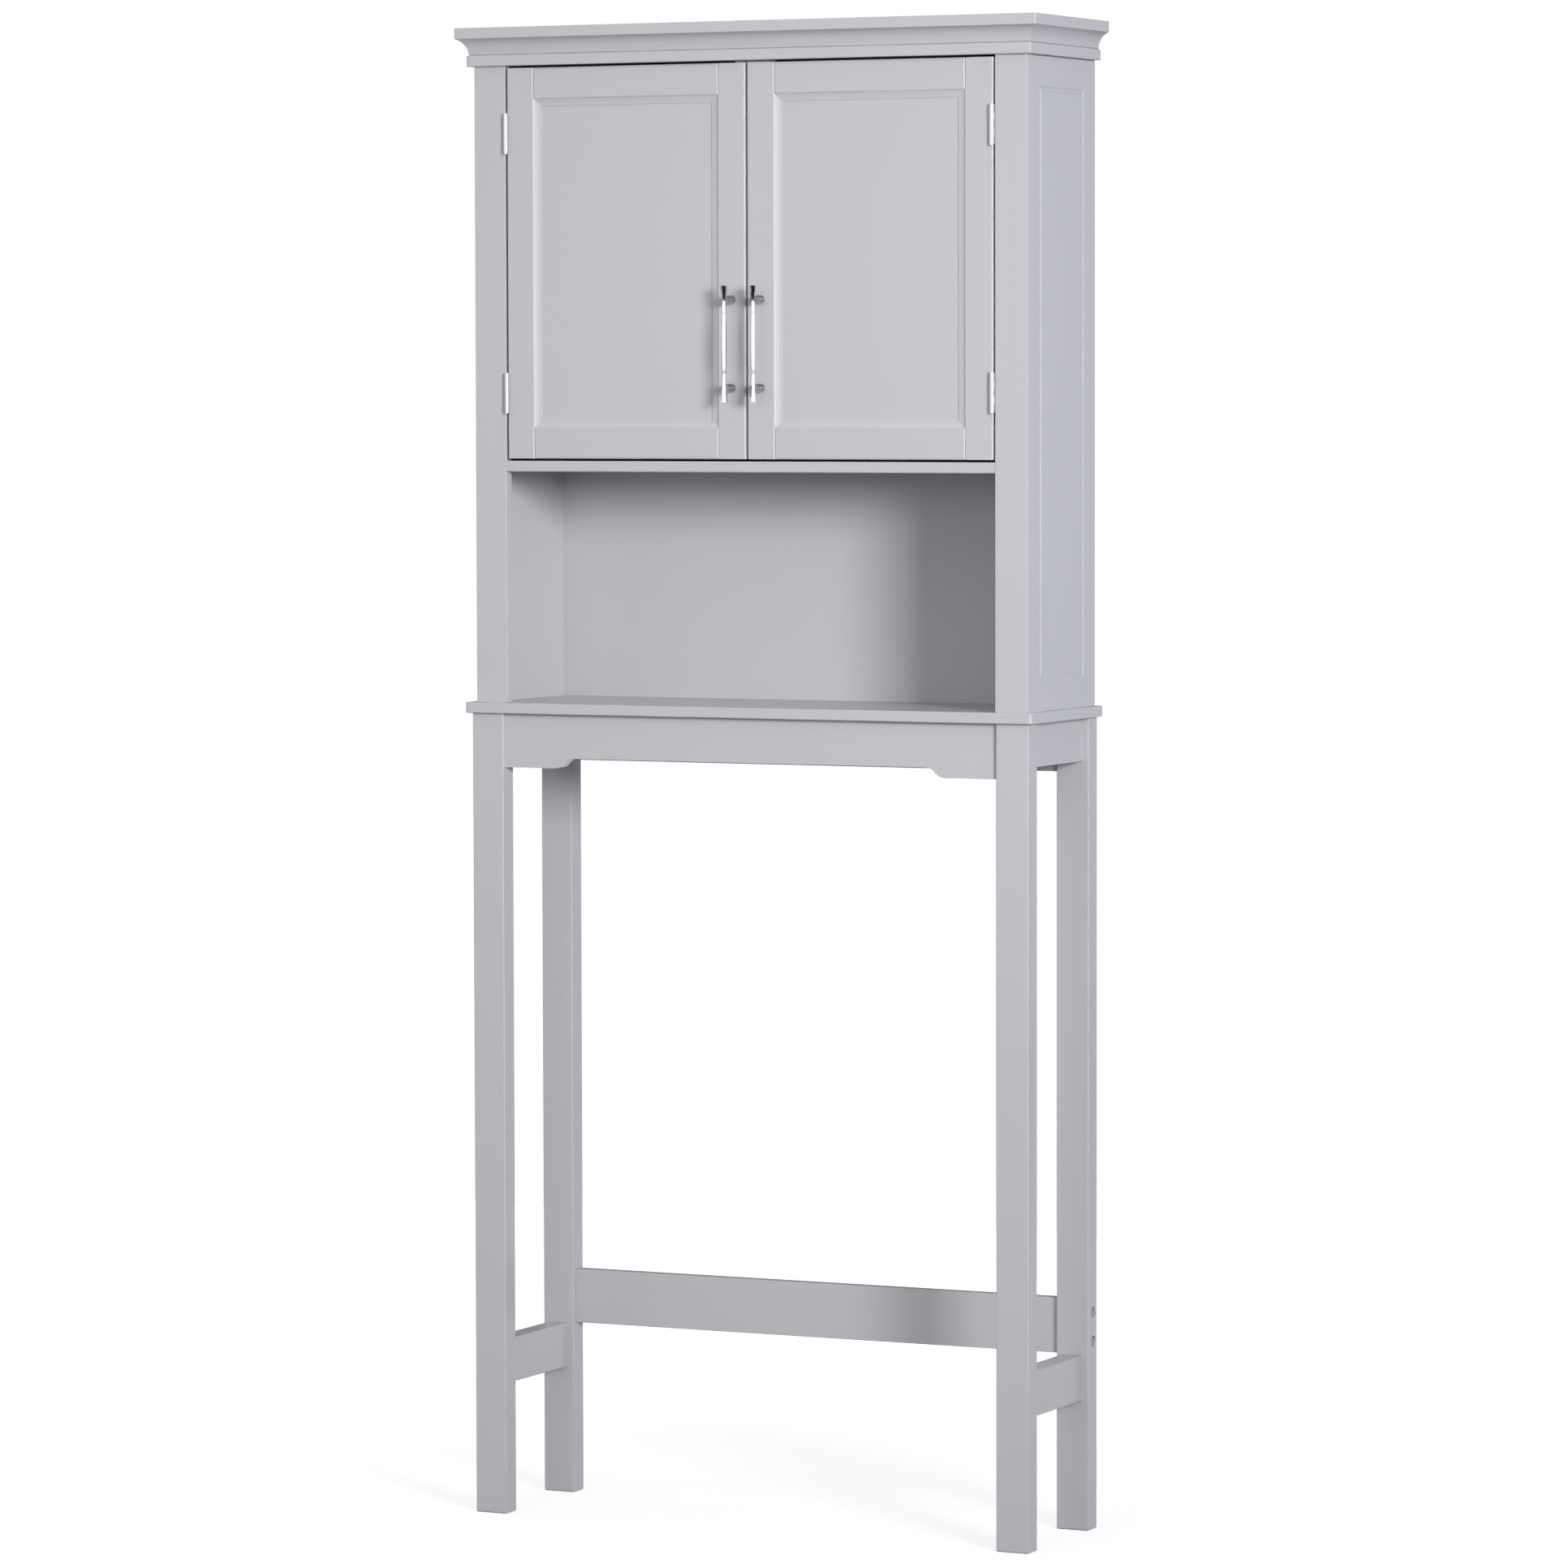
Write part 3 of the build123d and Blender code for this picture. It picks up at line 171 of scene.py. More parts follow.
class RackScrews(bpy.types.PropertyGroup):
    """Sizes of the screws' fine detail; their places and outer sizes are read from the screws of the CAD nodes.
    """

    thread_pitch: bpy.props.FloatProperty(
        name="Thread pitch", description="Advance of a thread in one turn",
        unit="LENGTH", min=0.0002, default=1.1 * MILLIMETRE)
    thread_depth: bpy.props.FloatProperty(
        name="Thread depth", description="Depth of a thread as a share of the shank's radius",
        subtype="FACTOR", min=0, max=0.5, default=0.24)
    recess_reach: bpy.props.FloatProperty(
        name="Recess reach", description="Half length of the cross recess as a share of the head's radius",
        subtype="FACTOR", min=0.1, max=0.9, default=0.6)
    recess_width: bpy.props.FloatProperty(
        name="Recess width", description="Half width of a recess arm as a share of the head's radius",
        subtype="FACTOR", min=0.02, max=0.4, default=0.13)
    recess_depth: bpy.props.FloatProperty(
        name="Recess depth", description="Depth of the cross recess as a share of the head's radius",
        subtype="FACTOR", min=0.05, max=1, default=0.42)
    recess_flare: bpy.props.FloatProperty(
        name="Recess flare", description="Share of its reach that the recess's cutter has above the head",
        min=1, max=3, default=1.6)
    recess_taper: bpy.props.FloatProperty(
        name="Recess taper", description="Share of its reach that the recess has at its bottom",
        subtype="FACTOR", min=0.05, max=1, default=0.35)
    dome_height: bpy.props.FloatProperty(
        name="Dome height", description="Height of a head's rounding as a share of the head's height",
        subtype="FACTOR", min=0.05, max=1, default=0.6)
    dome_flat: bpy.props.FloatProperty(
        name="Dome flat", description="Radius of the flat on a rounded head as a share of the head's radius",
        subtype="FACTOR", min=0.05, max=1, default=0.45)
    tip_length: bpy.props.FloatProperty(
        name="Tip length", description="Length of the point in radii of the shank",
        min=0.1, max=4, default=1.5)
    tip_width: bpy.props.FloatProperty(
        name="Tip width", description="Radius of the blunt point as a share of the shank's radius",
        subtype="FACTOR", min=0.02, max=1, default=0.25)
    segments: bpy.props.IntProperty(
        name="Segments", description="Sides of a turned surface", min=8, max=96, default=32)


class RackStage(bpy.types.PropertyGroup):
    """Camera, lights, floor and background."""

    camera_place: bpy.props.FloatVectorProperty(
        name="Camera", description="Place of the camera",
        subtype="TRANSLATION", unit="LENGTH", size=3, default=(3.274, -6.853, 1.2606))
    camera_turn: bpy.props.FloatProperty(
        name="Turn", description="Turn of the camera to the right of straight out of the rack's front",
        unit="ROTATION", default=math.radians(25.493))
    camera_pitch: bpy.props.FloatProperty(
        name="Pitch", description="Pitch of the view above the horizon",
        unit="ROTATION", default=math.radians(-3.336))
    camera_roll: bpy.props.FloatProperty(
        name="Roll", description="Roll of the camera about its view",
        unit="ROTATION", default=math.radians(-0.123))
    camera_lens: bpy.props.FloatProperty(
        name="Lens", description="Focal length in millimetres on a sensor 36 mm wide", min=1, default=158.66)
    target: bpy.props.FloatVectorProperty(
        name="Target", description="Point that the lamps face",
        subtype="TRANSLATION", unit="LENGTH", size=3, default=(0.0, 0.0, 1.2))
    key_turn: bpy.props.FloatProperty(
        name="Key turn", description="Turn of the key lamp to the right of straight out of the rack's front",
        unit="ROTATION", default=math.radians(50.8))
    key_height: bpy.props.FloatProperty(
        name="Key height", description="Angle of the key lamp above the target",
        unit="ROTATION", default=math.radians(8.5))
    key_distance: bpy.props.FloatProperty(
        name="Key distance", description="Distance of the key lamp from the target",
        unit="LENGTH", default=6.0)
    key_size: bpy.props.FloatProperty(
        name="Key size", description="Side of the key lamp's soft box", unit="LENGTH", default=1.4)
    key_spread: bpy.props.FloatProperty(
        name="Key spread", description="Angle that the grid of the key lamp's soft box lets through",
        unit="ROTATION", min=0.02, max=math.pi, default=math.radians(45.0))
    key_power: bpy.props.FloatProperty(
        name="Key power", description="Power of the key lamp", unit="POWER", default=22.9)
    fill_turn: bpy.props.FloatProperty(
        name="Fill turn", description="Turn of the fill lamp to the right of straight out of the front",
        unit="ROTATION", default=math.radians(0.0))
    fill_height: bpy.props.FloatProperty(
        name="Fill height", description="Angle of the fill lamp above the target",
        unit="ROTATION", default=math.radians(9.0))
    fill_distance: bpy.props.FloatProperty(
        name="Fill distance", description="Distance of the fill lamp from the target",
        unit="LENGTH", default=5.0)
    fill_size: bpy.props.FloatProperty(
        name="Fill size", description="Side of the fill lamp's soft box", unit="LENGTH", default=1.2)
    fill_spread: bpy.props.FloatProperty(
        name="Fill spread", description="Angle that the grid of the fill lamp's soft box lets through",
        unit="ROTATION", min=0.02, max=math.pi, default=math.pi)
    fill_power: bpy.props.FloatProperty(
        name="Fill power", description="Power of the fill lamp", unit="POWER", default=21.0)
    left_light: bpy.props.FloatVectorProperty(
        name="Left light", description="Light of the bright room on the left",
        subtype="COLOR", size=3, min=0, default=(0.67, 0.67, 0.67))
    right_light: bpy.props.FloatVectorProperty(
        name="Right light", description="Cooler, weaker light of the room on the right",
        subtype="COLOR", size=3, min=0, default=(0.09, 0.15, 0.22))
    far_floor: bpy.props.FloatVectorProperty(
        name="Far floor", description="Light that comes up from the white floor further away",
        subtype="COLOR", size=3, min=0, default=(0.3, 0.3, 0.3))
    soft_box: bpy.props.FloatProperty(
        name="Soft box", description="Brightness of the key lamp's soft box in reflections",
        min=0, default=2.6)
    backdrop: bpy.props.FloatVectorProperty(
        name="Backdrop", description="Background behind the rack as reflections show it",
        subtype="COLOR", size=3, min=0, default=(0.5, 0.51, 0.58))
    ceiling: bpy.props.FloatVectorProperty(
        name="Ceiling", description="Dim ceiling and far left corner, seen only in reflections",
        subtype="COLOR", size=3, min=0, default=(0.14, 0.14, 0.14))
    room: bpy.props.FloatVectorProperty(
        name="Room", description="Dark lower room in front of the rack, seen only in reflections",
        subtype="COLOR", size=3, min=0, default=(0.02, 0.02, 0.02))
    floor_size: bpy.props.FloatProperty(
        name="Floor size", description="Side of the floor", unit="LENGTH", default=5.0)
    floor_glow: bpy.props.FloatProperty(
        name="Floor glow", description="Share of white that the camera sees in the floor under the rack",
        subtype="FACTOR", min=0, max=1, default=0.7)
    floor_reach: bpy.props.FloatProperty(
        name="Floor reach", description="Distance at which the floor has faded into the background",
        unit="LENGTH", min=0.1, default=2.0)
    floor_shade: bpy.props.FloatProperty(
        name="Floor shade", description="Share of the floor's white that the rack's shadow can take",
        subtype="FACTOR", min=0, max=1, default=0.42)
    floor_bounce: bpy.props.FloatProperty(
        name="Floor bounce", description="Share of light that the floor throws back at the rack",
        subtype="FACTOR", min=0, max=1, default=0.3)


class Value:
    """A shader socket that can stand in a sum: an expression on values adds its Math nodes."""

    def __init__(self, tree, socket):
        self.tree = tree
        self.socket = socket

    def maths(self, operation, first, second):
        """One Math node on two values or numbers."""
        return self.tree.node("ShaderNodeMath", {"operation": operation}, {0: first, 1: second})

    def output(self, name):
        """Another output of the node that this value comes from."""
        return Value(self.tree, self.tree.find(self.socket.node.outputs, name))

    def at_most(self, other):
        return self.maths("MINIMUM", self, other)

    def at_least(self, other):
        return self.maths("MAXIMUM", self, other)

    def ramp(self, low, high):
        """Goes from 0 at low to 1 at high, and no further."""
        return ((self - low) * (1 / (high - low))).at_least(0.0).at_most(1.0)

    def around(self, mean, swing):
        """A number that swings round its mean as this noise swings round a half."""
        return mean + swing * (self - 0.5)

    def __add__(self, other):
        return self.maths("ADD", self, other)

    def __radd__(self, other):
        return self.maths("ADD", other, self)

    def __sub__(self, other):
        return self.maths("SUBTRACT", self, other)

    def __rsub__(self, other):
        return self.maths("SUBTRACT", other, self)

    def __mul__(self, other):
        return self.maths("MULTIPLY", self, other)

    def __rmul__(self, other):
        return self.maths("MULTIPLY", other, self)

    def __pow__(self, other):
        return self.maths("POWER", self, other)


def rgba(colour, scale=1.0):
    """A colour with its alpha, made lighter or darker by scale."""
    return (*[min(1.0, channel * scale) for channel in colour], 1.0)


def grey(level):
    """A grey with its alpha, which may be brighter than white."""
    return (level, level, level, 1.0)


class ShaderTree:
    """The nodes of one material or of the world."""

    def __init__(self, owner):
        owner.use_nodes = True
        self.nodes = owner.node_tree.nodes
        self.links = owner.node_tree.links
        self.nodes.clear()

    def find(self, sockets, key):
        """A socket by its number, or the first one in use that has the name."""
        if isinstance(key, int):
            return sockets[key]
        return next(socket for socket in sockets if socket.name == key and socket.enabled)

    def node(self, kind, settings=None, sockets=None, output=0):
        """Adds a node, sets its settings and then its sockets, and gives one of its outputs."""
        node = self.nodes.new(kind)
        for name, setting in (settings or {}).items():
            setattr(node, name, setting)
        for key, value in (sockets or {}).items():
            socket = self.find(node.inputs, key)
            if isinstance(value, Value):
                self.links.new(value.socket, socket)
            else:
                socket.default_value = value
        if output is None:
            return None
        return Value(self, self.find(node.outputs, output))

    def mix(self, factor, first, second):
        """A colour between two colours."""
        settings = {"data_type": "RGBA"}
        return self.node("ShaderNodeMix", settings, {"Factor": factor, "A": first, "B": second}, "Result")

    def shades(self, factor, colour, darkest, palest):
        """A colour that goes from its darkest to its palest shade, both given as shares of it."""
        return self.mix(factor, rgba(colour, darkest), rgba(colour, palest))

    def noise(self, place, size, detail=2.0, roughness=0.5):
        """Soft noise whose patches are about as wide as size."""
        sockets = {"Vector": place, "Scale": 1 / size, "Detail": detail, "Roughness": roughness}
        return self.node("ShaderNodeTexNoise", None, sockets)

    def streaks(self, place, along, width, length, detail=2.0, roughness=0.5):
        """Noise whose patches are drawn out along the axes that along names."""
        scale = [width / length if axis in along else 1.0 for axis in "xyz"]
        drawn_out = self.node("ShaderNodeMapping", None, {"Vector": place, "Scale": scale})
        return self.noise(drawn_out, width, detail, roughness)

    def bump(self, height, depth, strength, normal=None):
        """A normal that follows a height, depth metres deep at full strength."""
        sockets = {"Height": height, "Distance": depth, "Strength": strength}
        if normal is not None:
            sockets["Normal"] = normal
        return self.node("ShaderNodeBump", None, sockets, "Normal")

    def vector(self, operation, first, others=None, output="Vector"):
        """Vector maths on one vector and what goes with it."""
        sockets = {0: first, **(others or {})}
        return self.node("ShaderNodeVectorMath", {"operation": operation}, sockets, output)

    def to_world(self, normal):
        """A normal of the object, turned with it."""
        settings = {"vector_type": "NORMAL", "convert_from": "OBJECT", "convert_to": "WORLD"}
        return self.node("ShaderNodeVectorTransform", settings, {"Vector": normal})

    def moulding(self, relief):
        """How far an object leans to the right and up, as the share of a painted highlight, and a normal that
        leans relief times as far there.
        """
        facing = self.node("ShaderNodeTexCoord", output="Normal")
        # The parts of a normal to the left and down count as none, and its part along Y is kept
        lit = self.vector("MAXIMUM", facing, {1: (0.0, -1.0, 0.0)})
        further = self.vector("MULTIPLY", lit, {1: (relief - 1, 0.0, relief - 1)})
        leaning = self.vector("ADD", facing, {1: further})
        to_right = self.node("ShaderNodeSeparateXYZ", None, {0: lit}, "X")
        painted_highlight_share = (to_right + to_right.output("Z")).ramp(*PAINTED_HIGHLIGHT_RAMP)
        return painted_highlight_share, self.vector("NORMALIZE", self.to_world(leaning))

    def grooved(self, place, axis, reach):
        """A normal that leans to and fro along an axis of the object, as the walls of turned grooves do."""
        scratches = self.vector("SCALE", place, {"Scale": 1 / SCRATCH_SIZE})
        chance = self.node("ShaderNodeTexWhiteNoise", None, {"Vector": scratches}, "Value")
        lean = self.vector("SCALE", self.to_world(axis), {"Scale": chance.around(0.0, 2 * reach)})
        facing = self.node("ShaderNodeNewGeometry", output="Normal")
        return self.vector("NORMALIZE", self.vector("ADD", facing, {1: lean}))


def new_material(name):
    """An empty material and its tree."""
    material = bpy.data.materials.new(name)
    return material, ShaderTree(material)


def surface(tree, sockets):
    """Ends a material in a Principled surface."""
    shader = tree.node("ShaderNodeBsdfPrincipled", None, sockets)
    tree.node("ShaderNodeOutputMaterial", None, {"Surface": shader}, None)


def satin_paint(finishes, axis, moulded=False):
    """Sprayed and brushed satin paint whose faint streaks run along one axis of the rack."""
    material, tree = new_material(f"{'moulded' if moulded else 'satin'}_paint_{axis}")
    place = tree.node("ShaderNodeTexCoord", output="Object")
    streaks = tree.streaks(
        place, axis, finishes.streak_width, finishes.streak_length, detail=3.0, roughness=0.6)
    clouds = tree.noise(place, CLOUD_SIZE)
    peel = tree.noise(place, PEEL_SIZE, detail=1.0)
    tone = STREAK_TONE * streaks + (1 - STREAK_TONE) * clouds
    contrast = finishes.streak_contrast
    coat = tree.shades(tone, finishes.paint, 1 - contrast, 1 + contrast)
    # Paler paint along convex arrises, found by local ambient occlusion: partly wear, partly a painted
    # highlight
    settings = {"inside": True, "only_local": True, "samples": 4}
    solid = tree.node("ShaderNodeAmbientOcclusion", settings, {"Distance": finishes.edge_width}, "AO")
    arris = finishes.edge_wear_and_highlight * (1 - solid)
    colour = tree.mix(arris, coat, rgba(finishes.paint, ARRIS_WEAR_AND_HIGHLIGHT_TINT))
    gloss = streaks.around(clouds.around(finishes.paint_roughness, CLOUD_GLOSS), STREAK_GLOSS)
    relief = STREAK_RELIEF * streaks + (1 - STREAK_RELIEF) * peel
    facing = None
    if moulded:
        painted_highlight_share, facing = tree.moulding(finishes.moulding_relief)
        # Painted highlight: the paint is painted paler where the moulding faces right or up
        colour = tree.mix(painted_highlight_share, colour, rgba(finishes.paint, 1 + finishes.moulding_painted_highlight))
    normal = tree.bump(relief, PAINT_DEPTH, strength=0.25, normal=facing)
    surface(tree, {"Base Color": colour, "Roughness": gloss, "Normal": normal, "IOR": 1.5})
    return material


def beech(finishes):
    """Bare beech with fine grain and flecks."""
    material, tree = new_material("beech")
    place = tree.node("ShaderNodeTexCoord", output="Object")
    grain = tree.streaks(
        place, "x", width=1.2 * MILLIMETRE, length=20 * MILLIMETRE, detail=4.0, roughness=0.6)
    flecks = tree.streaks(place, "x", width=0.5 * MILLIMETRE, length=2.5 * MILLIMETRE, detail=1.0)
    tone = GRAIN_TONE * grain + (1 - GRAIN_TONE) * flecks
    colour = tree.shades(tone, finishes.bare_wood, darkest=0.72, palest=1.2)
    gloss = flecks.around(mean=0.68, swing=0.2)
    normal = tree.bump(grain, depth=0.1 * MILLIMETRE, strength=0.4)
    surface(tree, {"Base Color": colour, "Roughness": gloss, "Normal": normal})
    return material


def metal(name, colour, roughness, swing, mark_width, mark_depth):
    """Plated metal: fine polishing marks in its gloss and a slight change of tone."""
    material, tree = new_material(name)
    place = tree.node("ShaderNodeTexCoord", output="Object")
    mark_length = mark_width / POLISH_SQUEEZE
    marks = tree.streaks(place, "z", mark_width, mark_length, detail=3.0, roughness=0.65)
    stains = tree.noise(place, size=9 * MILLIMETRE)
    tone = tree.shades(stains, colour, darkest=0.94, palest=1.05)
    gloss = marks.around(roughness, swing)
    normal = tree.bump(marks, mark_depth, strength=0.3)
    surface(tree, {"Base Color": tone, "Metallic": 1.0, "Roughness": gloss, "Normal": normal})
    return material


def turned_steel(finishes):
    """Steel from the lathe, with fine grooves round the posts of the pulls."""
    material, tree = new_material("turned_steel")
    place = tree.node("ShaderNodeTexCoord", output="Object")
    grooves = tree.streaks(place, "xz", width=0.25 * MILLIMETRE, length=12.5 * MILLIMETRE, roughness=0.6)
    stains = tree.noise(place, size=6 * MILLIMETRE)
    tone = tree.shades(stains, finishes.turned_steel, darkest=0.92, palest=1.08)
    gloss = grooves.around(mean=0.25, swing=0.1)
    normal = tree.grooved(place, POST_AXIS, reach=1.5)
    surface(tree, {"Base Color": tone, "Metallic": 1.0, "Roughness": gloss, "Normal": normal})
    return material


def moulded_plastic(finishes):
    """White moulded plastic with a fine spark-eroded texture."""
    material, tree = new_material("moulded_plastic")
    place = tree.node("ShaderNodeTexCoord", output="Object")
    texture = tree.noise(place, size=0.35 * MILLIMETRE)
    flow = tree.noise(place, size=12 * MILLIMETRE)
    colour = tree.shades(flow, finishes.plastic, darkest=0.96, palest=1.03)
    gloss = texture.around(mean=0.44, swing=0.16)
    normal = tree.bump(texture, depth=0.03 * MILLIMETRE, strength=0.5)
    surface(tree, {"Base Color": colour, "Roughness": gloss, "Normal": normal, "IOR": 1.49})
    return material


def finish(names, material):
    """Gives CAD nodes a material in place of their plain one."""
    for name in names:
        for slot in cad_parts[name].material_slots:
            slot.material = material


def from_axis(point, middle, axis):
    """Distance of a point from the line that runs along an axis through the middle."""
    away = point - middle
    away[axis] = 0.0
    return away.length


class Fastener:
    """One screw of a CAD node: where its head is, which way it goes in, and its sizes."""

    def __init__(self, points):
        low = Vector([min(point[axis] for point in points) for axis in range(3)])
        high = Vector([max(point[axis] for point in points) for axis in range(3)])
        extents = high - low
        self.length = max(extents)
        axis = list(extents).index(self.length)
        middle = (low + high) / 2
        spread = {}
        for end in (low[axis], high[axis]):
            near = [point for point in points if abs(point[axis] - end) < END_SHARE * self.length]
            spread[end] = max(from_axis(point, middle, axis) for point in near)
        head_end = max(spread, key=spread.get)
        self.shank_radius = min(spread.values())
        self.head_radius = max(from_axis(point, middle, axis) for point in points)
        self.head = middle.copy()
        self.head[axis] = head_end
        self.direction = (middle - self.head).normalized()
        wide = (self.head_radius + self.shank_radius) / 2
        of_head = [point for point in points if from_axis(point, middle, axis) > wide]
        self.head_height = max(abs(point[axis] - head_end) for point in of_head)

    def matrix(self):
        """Takes a screw that stands on the origin with its head up to where this one is."""
        turn = (-self.direction).to_track_quat("Z", "Y")
        return Matrix.LocRotScale(self.head, turn, None)


def fasteners_of(name):
    """The separate solids of a CAD node, each read as a fastener."""
    mesh = bmesh.new()
    mesh.from_mesh(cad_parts[name].data)
    bmesh.ops.remove_doubles(mesh, verts=mesh.verts, dist=WELD_DISTANCE)
    waiting = set(mesh.verts)
    found = []
    for start in mesh.verts:
        if start not in waiting:
            continue
        waiting.remove(start)
        solid = [start]
        # The list grows while it is walked, until it has every vertex that is linked to the start
        for vertex in solid:
            linked = {edge.other_vert(vertex) for edge in vertex.link_edges} & waiting
            waiting -= linked
            solid.extend(linked)
        found.append(Fastener([vertex.co.copy() for vertex in solid]))
    mesh.free()
    return found


def turned(mesh, profile, segments, radius_at):
    """A closed turned surface about Z through rows of height and radius, which radius_at shapes round it."""
    rings = []
    for height, radius in profile:
        ring = []
        for step in range(segments):
            angle = math.tau * step / segments
            reach = radius_at(height, radius, angle)
            ring.append(mesh.verts.new((reach * math.cos(angle), reach * math.sin(angle), height)))
        rings.append(ring)
    for upper, lower in zip(rings, rings[1:]):
        for step in range(segments):
            after = (step + 1) % segments
            mesh.faces.new((upper[step], lower[step], lower[after], upper[after]))
    mesh.faces.new(rings[0])
    mesh.faces.new(reversed(rings[-1]))


def mesh_object(name, mesh):
    """Turns a finished bmesh into a linked object."""
    bmesh.ops.recalc_face_normals(mesh, faces=mesh.faces)
    data = bpy.data.meshes.new(name)
    mesh.to_mesh(data)
    mesh.free()
    piece = bpy.data.objects.new(name, data)
    bpy.context.scene.collection.objects.link(piece)
    return piece


def cross_cutter(head_radius, screws):
    """A cross with tapered arms, which sinks into a head from the origin down."""
    reach = head_radius * screws.recess_reach
    width = head_radius * screws.recess_width
    depth = head_radius * screws.recess_depth
    mesh = bmesh.new()
    for turn in (0, math.pi / 2):
        rings = []
        for height, taper in ((depth, screws.recess_flare), (-depth, screws.recess_taper)):
            ring = []
            for side_x, side_y in ((-1, -1), (1, -1), (1, 1), (-1, 1)):
                corner = Vector((side_x * reach * taper, side_y * width, height))
                corner.rotate(Matrix.Rotation(turn, 3, "Z"))
                ring.append(mesh.verts.new(corner))
            rings.append(ring)
        top, bottom = rings
        mesh.faces.new(top)
        mesh.faces.new(reversed(bottom))
        for step in range(len(top)):
            after = (step + 1) % len(top)
            mesh.faces.new((top[step], bottom[step], bottom[after], top[after]))
    return mesh_object("cross_cutter", mesh)


def screw_profile(fastener, screws, domed):
    """Rows of height and radius from a head's top, at zero, to the screw's tip, and the shank's start."""
    rows = []
    if domed:
        dome = fastener.head_height * screws.dome_height
        for step in range(DOME_STEPS + 1):
            angle = math.pi / 2 * step / DOME_STEPS
            share = screws.dome_flat + (1 - screws.dome_flat) * math.sin(angle)
            rows.append((-dome * (1 - math.cos(angle)), fastener.head_radius * share))
        start = -fastener.head_height
        rows.append((start, fastener.head_radius))
    else:
        start = fastener.shank_radius - fastener.head_radius
        rows.append((0.0, fastener.head_radius))
    rows.append((start, fastener.shank_radius))
    threaded = fastener.length + start - screws.tip_length * fastener.shank_radius
    steps = max(2, round(threaded / screws.thread_pitch * ROWS_PER_TURN))
    for step in range(1, steps + 1):
        rows.append((start - threaded * step / steps, fastener.shank_radius))
    rows.append((-fastener.length, screws.tip_width * fastener.shank_radius))
    return rows, start


def make_screws(node, body, material, domed):
    """Replaces a node's plain screws by cross-headed ones with a thread."""
    screws = bpy.context.scene.rack_screws
    places = fasteners_of(node)
    first = places[0]
    profile, shank_start = screw_profile(first, screws, domed)

    def radius_at(height, radius, angle):
        if height >= shank_start or radius < first.shank_radius:
            return radius
        phase = (height / screws.thread_pitch + angle / math.tau) % 1
        return radius * (1 - screws.thread_depth * (1 - abs(2 * phase - 1)))

    blank = bmesh.new()
    turned(blank, profile, screws.segments, radius_at)
    pattern = mesh_object(f"{node}_pattern", blank)
    cutter = cross_cutter(first.head_radius, screws)
    cut = pattern.modifiers.new("recess", "BOOLEAN")
    cut.object = cutter
    cut.use_self = True
    evaluated = pattern.evaluated_get(bpy.context.evaluated_depsgraph_get())
    screw = bpy.data.meshes.new_from_object(evaluated)
    together = bmesh.new()
    for place in places:
        copy = screw.copy()
        copy.transform(place.matrix())
        together.from_mesh(copy)
        bpy.data.meshes.remove(copy)
    for spare in (pattern, cutter):
        bpy.data.objects.remove(spare)
    piece = mesh_object(f"{node}_cross_headed", together)
    piece.data.shade_smooth()
    piece.data.set_sharp_from_angle(angle=SHARP_ANGLE)
    piece.data.materials.append(material)
    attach(piece, body)
    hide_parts(node)


class RACK_OT_paint_woodwork(bpy.types.Operator):
    """Paints the frame, the cabinet and the doors, and leaves the dowels bare"""

    bl_idname = "rack.paint_woodwork"
    bl_label = "Paint the woodwork"

    def execute(self, context):
        finishes = context.scene.rack_finishes
        for axis, names in (("x", WOOD_ALONG_X), ("y", WOOD_ALONG_Y), ("z", WOOD_ALONG_Z)):
            finish(names, satin_paint(finishes, axis))
        finish(DOOR_RAILS, satin_paint(finishes, "x", moulded=True))
        finish(DOOR_STILES, satin_paint(finishes, "z", moulded=True))
        finish(DOWELS, beech(finishes))
        return {"FINISHED"}


class RACK_OT_plate_pulls(bpy.types.Operator):
    """Chromes the pulls and fits their screws from behind the doors"""

    bl_idname = "rack.plate_pulls"
    bl_label = "Plate the pulls"

    def execute(self, context):
        finishes = context.scene.rack_finishes
        chrome = metal(
            "chrome", finishes.chrome, roughness=0.07, swing=0.05,
            mark_width=0.3 * MILLIMETRE, mark_depth=0.004 * MILLIMETRE)
        finish(PULL_BARS, chrome)
        finish(PULL_POSTS, turned_steel(finishes))
        zinc = metal(
            "zinc_screws", finishes.zinc, roughness=0.3, swing=0.16,
            mark_width=0.6 * MILLIMETRE, mark_depth=0.02 * MILLIMETRE)
        for side, node in zip(SIDES, PULL_SCREWS):
            make_screws(node, f"{side}_door", zinc, domed=True)
        return {"FINISHED"}


class RACK_OT_plate_hinges(bpy.types.Operator):
    """Nickels the hinges and fits their countersunk screws"""

    bl_idname = "rack.plate_hinges"
    bl_label = "Plate the hinges"

    def execute(self, context):
        finishes = context.scene.rack_finishes
        nickel = metal(
            "nickel", finishes.nickel, roughness=0.16, swing=0.1,
            mark_width=0.4 * MILLIMETRE, mark_depth=0.01 * MILLIMETRE)
        finish(HINGES, nickel)
        for node in HINGE_SCREWS:
            side, _, leaf, _ = node.split("_")
            body = f"{side}_door" if leaf == "door" else "cabinet"
            make_screws(node, body, nickel, domed=False)
        return {"FINISHED"}


class RACK_OT_finish_fittings(bpy.types.Operator):
    """Finishes the catch, its screws and plates, the shelf pins, the bolts and the nuts"""

    bl_idname = "rack.finish_fittings"
    bl_label = "Finish the fittings"

    def execute(self, context):
        finishes = context.scene.rack_finishes
        zinc = metal(
            "zinc", finishes.zinc, roughness=0.34, swing=0.2,
            mark_width=0.8 * MILLIMETRE, mark_depth=0.02 * MILLIMETRE)
        finish(FITTINGS, zinc)
        finish(["magnetic_catch"], moulded_plastic(finishes))
        make_screws("catch_screws", "cabinet", zinc, domed=True)
        return {"FINISHED"}


def direction(turn, height):
    """A direction away from the rack, turned to the right of straight out of its front and raised."""
    return Vector((math.sin(turn) * math.cos(height), -math.cos(turn) * math.cos(height), math.sin(height)))


